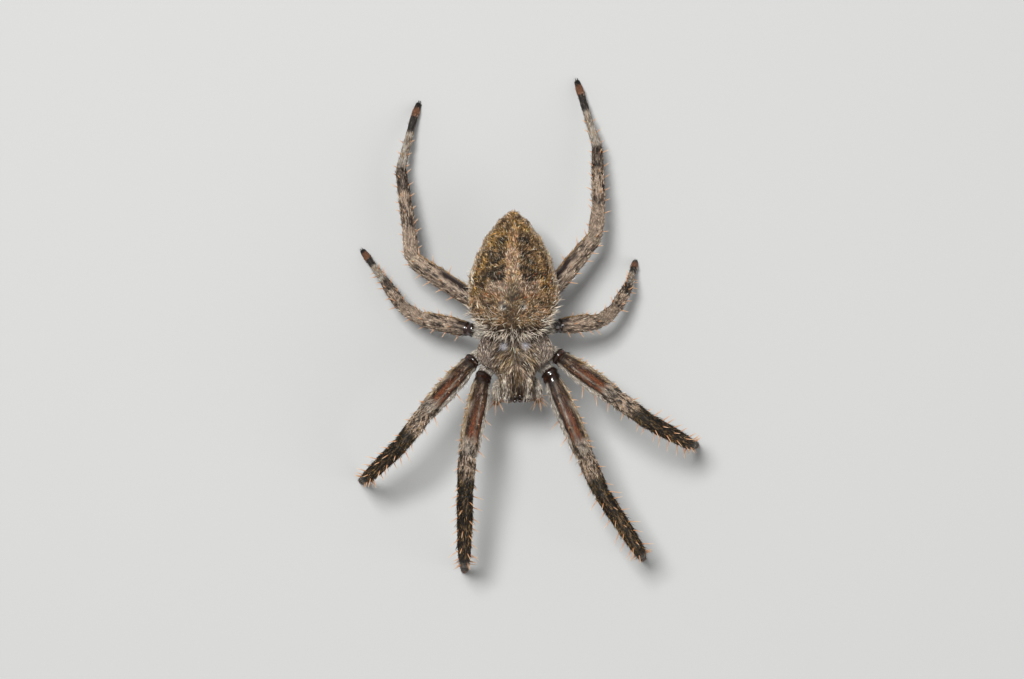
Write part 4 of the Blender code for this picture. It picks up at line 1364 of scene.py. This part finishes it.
# Spinnerets: place across and along the body at the root, and how far the tip reaches towards the tail.
# Points of their path: share of the place across, share of the reach, and height.
SPINNERETS = ((0.30, 8.30, 0.30), (-0.30, 8.30, 0.30), (0.26, 8.75, 0.62), (-0.26, 8.75, 0.62))
SPINNERET_PATH = ((1.0, 0.0, 5.75), (1.05, 0.3, 5.36), (0.85, 0.7, 4.98), (0.62, 1.0, 4.70))
SPINNERET_HAIRS = 420


def build_spinnerets(material, coat, rng):
    """Two pairs of hairy cones that lean together towards the tail."""
    group = []
    rows, sides = 16, 24
    radii = np.interp(np.linspace(0, 1, rows), (0, 0.35, 0.7, 0.92, 1), (0.34, 0.32, 0.24, 0.13, 0.05))
    ring = level_ring(sides)
    for k, (across, along, lean) in enumerate(SPINNERETS):
        path = [(across * size, along + lean * reach, height) for size, reach, height in SPINNERET_PATH]
        path = smooth_through(path, rows)
        name = f"spinneret_{k + 1}"
        add_cone(name, path, radii, sides, material, ["spinnerets"] if k == 0 else ())
        hairs = Surface(name, path[:, None, :] + ring * radii[:, None, None]).sample(SPINNERET_HAIRS, rng)
        colour = grizzled(np.tile(BROWN, (SPINNERET_HAIRS, 1)), rng, 0.4, 0.3, 0.35, TAN)
        heading = scatter(np.array([0, 0.5, -1.0]), hairs, rng, 14)
        group.append(brushed(hairs, rng, heading, colour, (0.22, 0.3), 0.024, (26, 8, 8, 50)))
    grow_group("coat_spinnerets", group, coat, rng)


# ------------------------------------------------------------ materials

def add_node(tree, kind, **values):
    node = tree.nodes.new(kind)
    for socket, value in values.items():
        node.inputs[socket].default_value = value
    return node


def principled(name, roughness, specular):
    material = bpy.data.materials.new(name)
    material.use_nodes = True
    shader = material.node_tree.nodes["Principled BSDF"]
    shader.inputs["Roughness"].default_value = roughness
    shader.inputs["Specular IOR Level"].default_value = specular
    return material, material.node_tree, shader


def add_bump(tree, shader, scale, strength, distance):
    """Fine unevenness, with features 1 / scale metres across."""
    place = add_node(tree, "ShaderNodeTexCoord")
    grain = add_node(tree, "ShaderNodeTexNoise", Scale=scale, Detail=3)
    bump = add_node(tree, "ShaderNodeBump", Strength=strength, Distance=distance)
    tree.links.new(place.outputs["Object"], grain.inputs["Vector"])
    tree.links.new(grain.outputs["Fac"], bump.inputs["Height"])
    tree.links.new(bump.outputs["Normal"], shader.inputs["Normal"])


def tinted(name, roughness, specular, *bump):
    """Principled material coloured by the mesh's own tint."""
    material, tree, shader = principled(name, roughness, specular)
    tint = add_node(tree, "ShaderNodeAttribute")
    tint.attribute_name = "tint"
    tree.links.new(tint.outputs["Color"], shader.inputs["Base Color"])
    add_bump(tree, shader, *bump)
    return material


def mottled(name, colour, dark, roughness, scale, coat_weight=0.0):
    """Shell of one colour clouded with a darker one."""
    material, tree, shader = principled(name, roughness, 0.6)
    place = add_node(tree, "ShaderNodeTexCoord")
    clouds = add_node(tree, "ShaderNodeTexNoise", Scale=scale, Detail=4)
    colours = add_node(tree, "ShaderNodeValToRGB")
    for element, shade, position in zip(colours.color_ramp.elements, (dark, colour), (0.35, 0.65)):
        element.color = (*shade, 1)
        element.position = position
    tree.links.new(place.outputs["Object"], clouds.inputs["Vector"])
    tree.links.new(clouds.outputs["Fac"], colours.inputs["Fac"])
    tree.links.new(colours.outputs["Color"], shader.inputs["Base Color"])
    if coat_weight:
        shader.inputs["Coat Weight"].default_value = coat_weight
        shader.inputs["Coat Roughness"].default_value = 0.05
    add_bump(tree, shader, scale * 3, 0.3, 0.00001)
    return material


# ------------------------------------------------------------ stage

VIEW_HEIGHT = 267.0  # camera height above the floor, in mm
VIEW_WIDTH = 77.8  # width seen at the level of the body
BODY_LEVEL = 7.0
VIEW_CENTRE = np.array([-0.08, 0.42, VIEW_HEIGHT])  # the camera's place, over the middle of the view


def set_stage():
    bpy.ops.mesh.primitive_plane_add(size=3.0, location=(0, 0, -0.00002))
    floor = bpy.context.object
    floor.name = "floor"
    material, _, shader = principled("pale floor", 0.9, 0.2)
    shader.inputs["Base Color"].default_value = (0.40, 0.40, 0.393, 1)
    floor.data.materials.append(material)
    add_light("key", (-0.07, 0.09, 0.38), 0.10, 2.1)
    add_light("fill", (0.24, -0.16, 0.28), 0.30, 0.5)
    world = bpy.data.worlds.new("studio")
    world.use_nodes = True
    world.node_tree.nodes["Background"].inputs["Color"].default_value = (1.0, 1.0, 1.0, 1)
    world.node_tree.nodes["Background"].inputs["Strength"].default_value = 0.33
    bpy.context.scene.world = world
    bpy.context.scene.view_settings.view_transform = "Standard"


def add_light(name, place, size, power_watts):
    """Soft square light that looks at the spider."""
    data = bpy.data.lights.new(name, "AREA")
    data.size = size
    data.energy = power_watts
    light = bpy.data.objects.new(name, data)
    light.location = place
    aim = np.array([0, 0, 0.006]) - np.array(place)
    flat = math.hypot(aim[0], aim[1])
    light.rotation_euler = (math.atan2(flat, -aim[2]), 0, math.atan2(aim[1], aim[0]) - math.pi / 2)
    bpy.context.scene.collection.objects.link(light)


def set_camera():
    """Long lens straight above the spider, with her tail towards the top of the picture."""
    data = bpy.data.cameras.new("camera")
    data.sensor_width = 36
    data.lens = 36 * (VIEW_HEIGHT - BODY_LEVEL) / VIEW_WIDTH
    data.clip_start = 0.01
    camera = bpy.data.objects.new("camera", data)
    camera.location = (VIEW_CENTRE + OFFSET) * MM
    bpy.context.scene.collection.objects.link(camera)
    bpy.context.scene.camera = camera


# ------------------------------------------------------------ all together

def body_offset():
    """Where the body's own frame lies in the row's frame, read off the abdomen's node."""
    low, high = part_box("abdomen")
    end = TAIL + (FRONT - TAIL) * 0.004
    return np.array([(low.x + high.x) / 2 / MM, high.y / MM - end[1], 0.0])


def build():
    rng = np.random.default_rng(SEED)
    abdomen, carapace = abdomen_surface(), carapace_surface()
    legs = [leg_surface(side, number) for side, number in POSE]
    palps = [palp_surface(side) for side in SIDES]
    blocks = [block_surface("sternum", STERNUM, 2.5), block_surface("mouthparts", MOUTH, 3.0),
              waist_surface()]
    skins = [tinted("skin under the coat", 0.62, 0.35, 9000, 0.5, 0.00003),
             tinted("dark glossy shell", 0.20, 0.7, 5000, 0.25, 0.00002)]
    flesh = [name for name in frame["nodes"] if not name.startswith(("eye_", "chelicera", "spinneret"))]
    build_skin([abdomen, carapace, *legs, *palps, *blocks], skins, flesh)
    abdomen_coat, front_coat, leg_coat = (
        (tinted(f"{slot} hair", 0.5, 0.30, 40000, 0.4, 0.000006), slot)
        for slot in ("abdomen coat", "carapace coat", "leg coat"))
    coat_abdomen(abdomen, abdomen_coat, rng)
    coat_fringe(abdomen, abdomen_coat, rng)
    beads = eye_beads()
    coat_carapace(carapace, beads, front_coat, rng)
    coat_face(carapace, front_coat, rng)
    coat_legs(legs, leg_coat, rng)
    coat_palps(palps, leg_coat, rng)
    build_spines([*legs, *palps], tinted("spine", 0.35, 0.5, 25000, 0.4, 0.000008), rng)
    build_eyes(beads, mottled("eye", (0.030, 0.010, 0.004), (0.010, 0.004, 0.002), 0.10, 9000, 0.5))
    dark = mottled("dark claw", (0.020, 0.012, 0.008), (0.010, 0.006, 0.004), 0.25, 4000)
    shell = mottled("jaw shell", (0.10, 0.045, 0.024), (0.030, 0.014, 0.009), 0.30, 1800)
    coat_jaws([build_jaw(side, shell, dark) for side in SIDES], front_coat, rng)
    coat_below(blocks, front_coat, rng)
    build_claws(legs, dark)
    spinneret_skin = mottled("spinneret skin", (0.12, 0.075, 0.048), (0.030, 0.018, 0.012), 0.5, 4500)
    build_spinnerets(spinneret_skin, front_coat, rng)
    set_stage()
    set_camera()


for leftover in list(bpy.data.objects):
    bpy.data.objects.remove(leftover, do_unlink=True)
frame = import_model()
OFFSET = body_offset()
build()
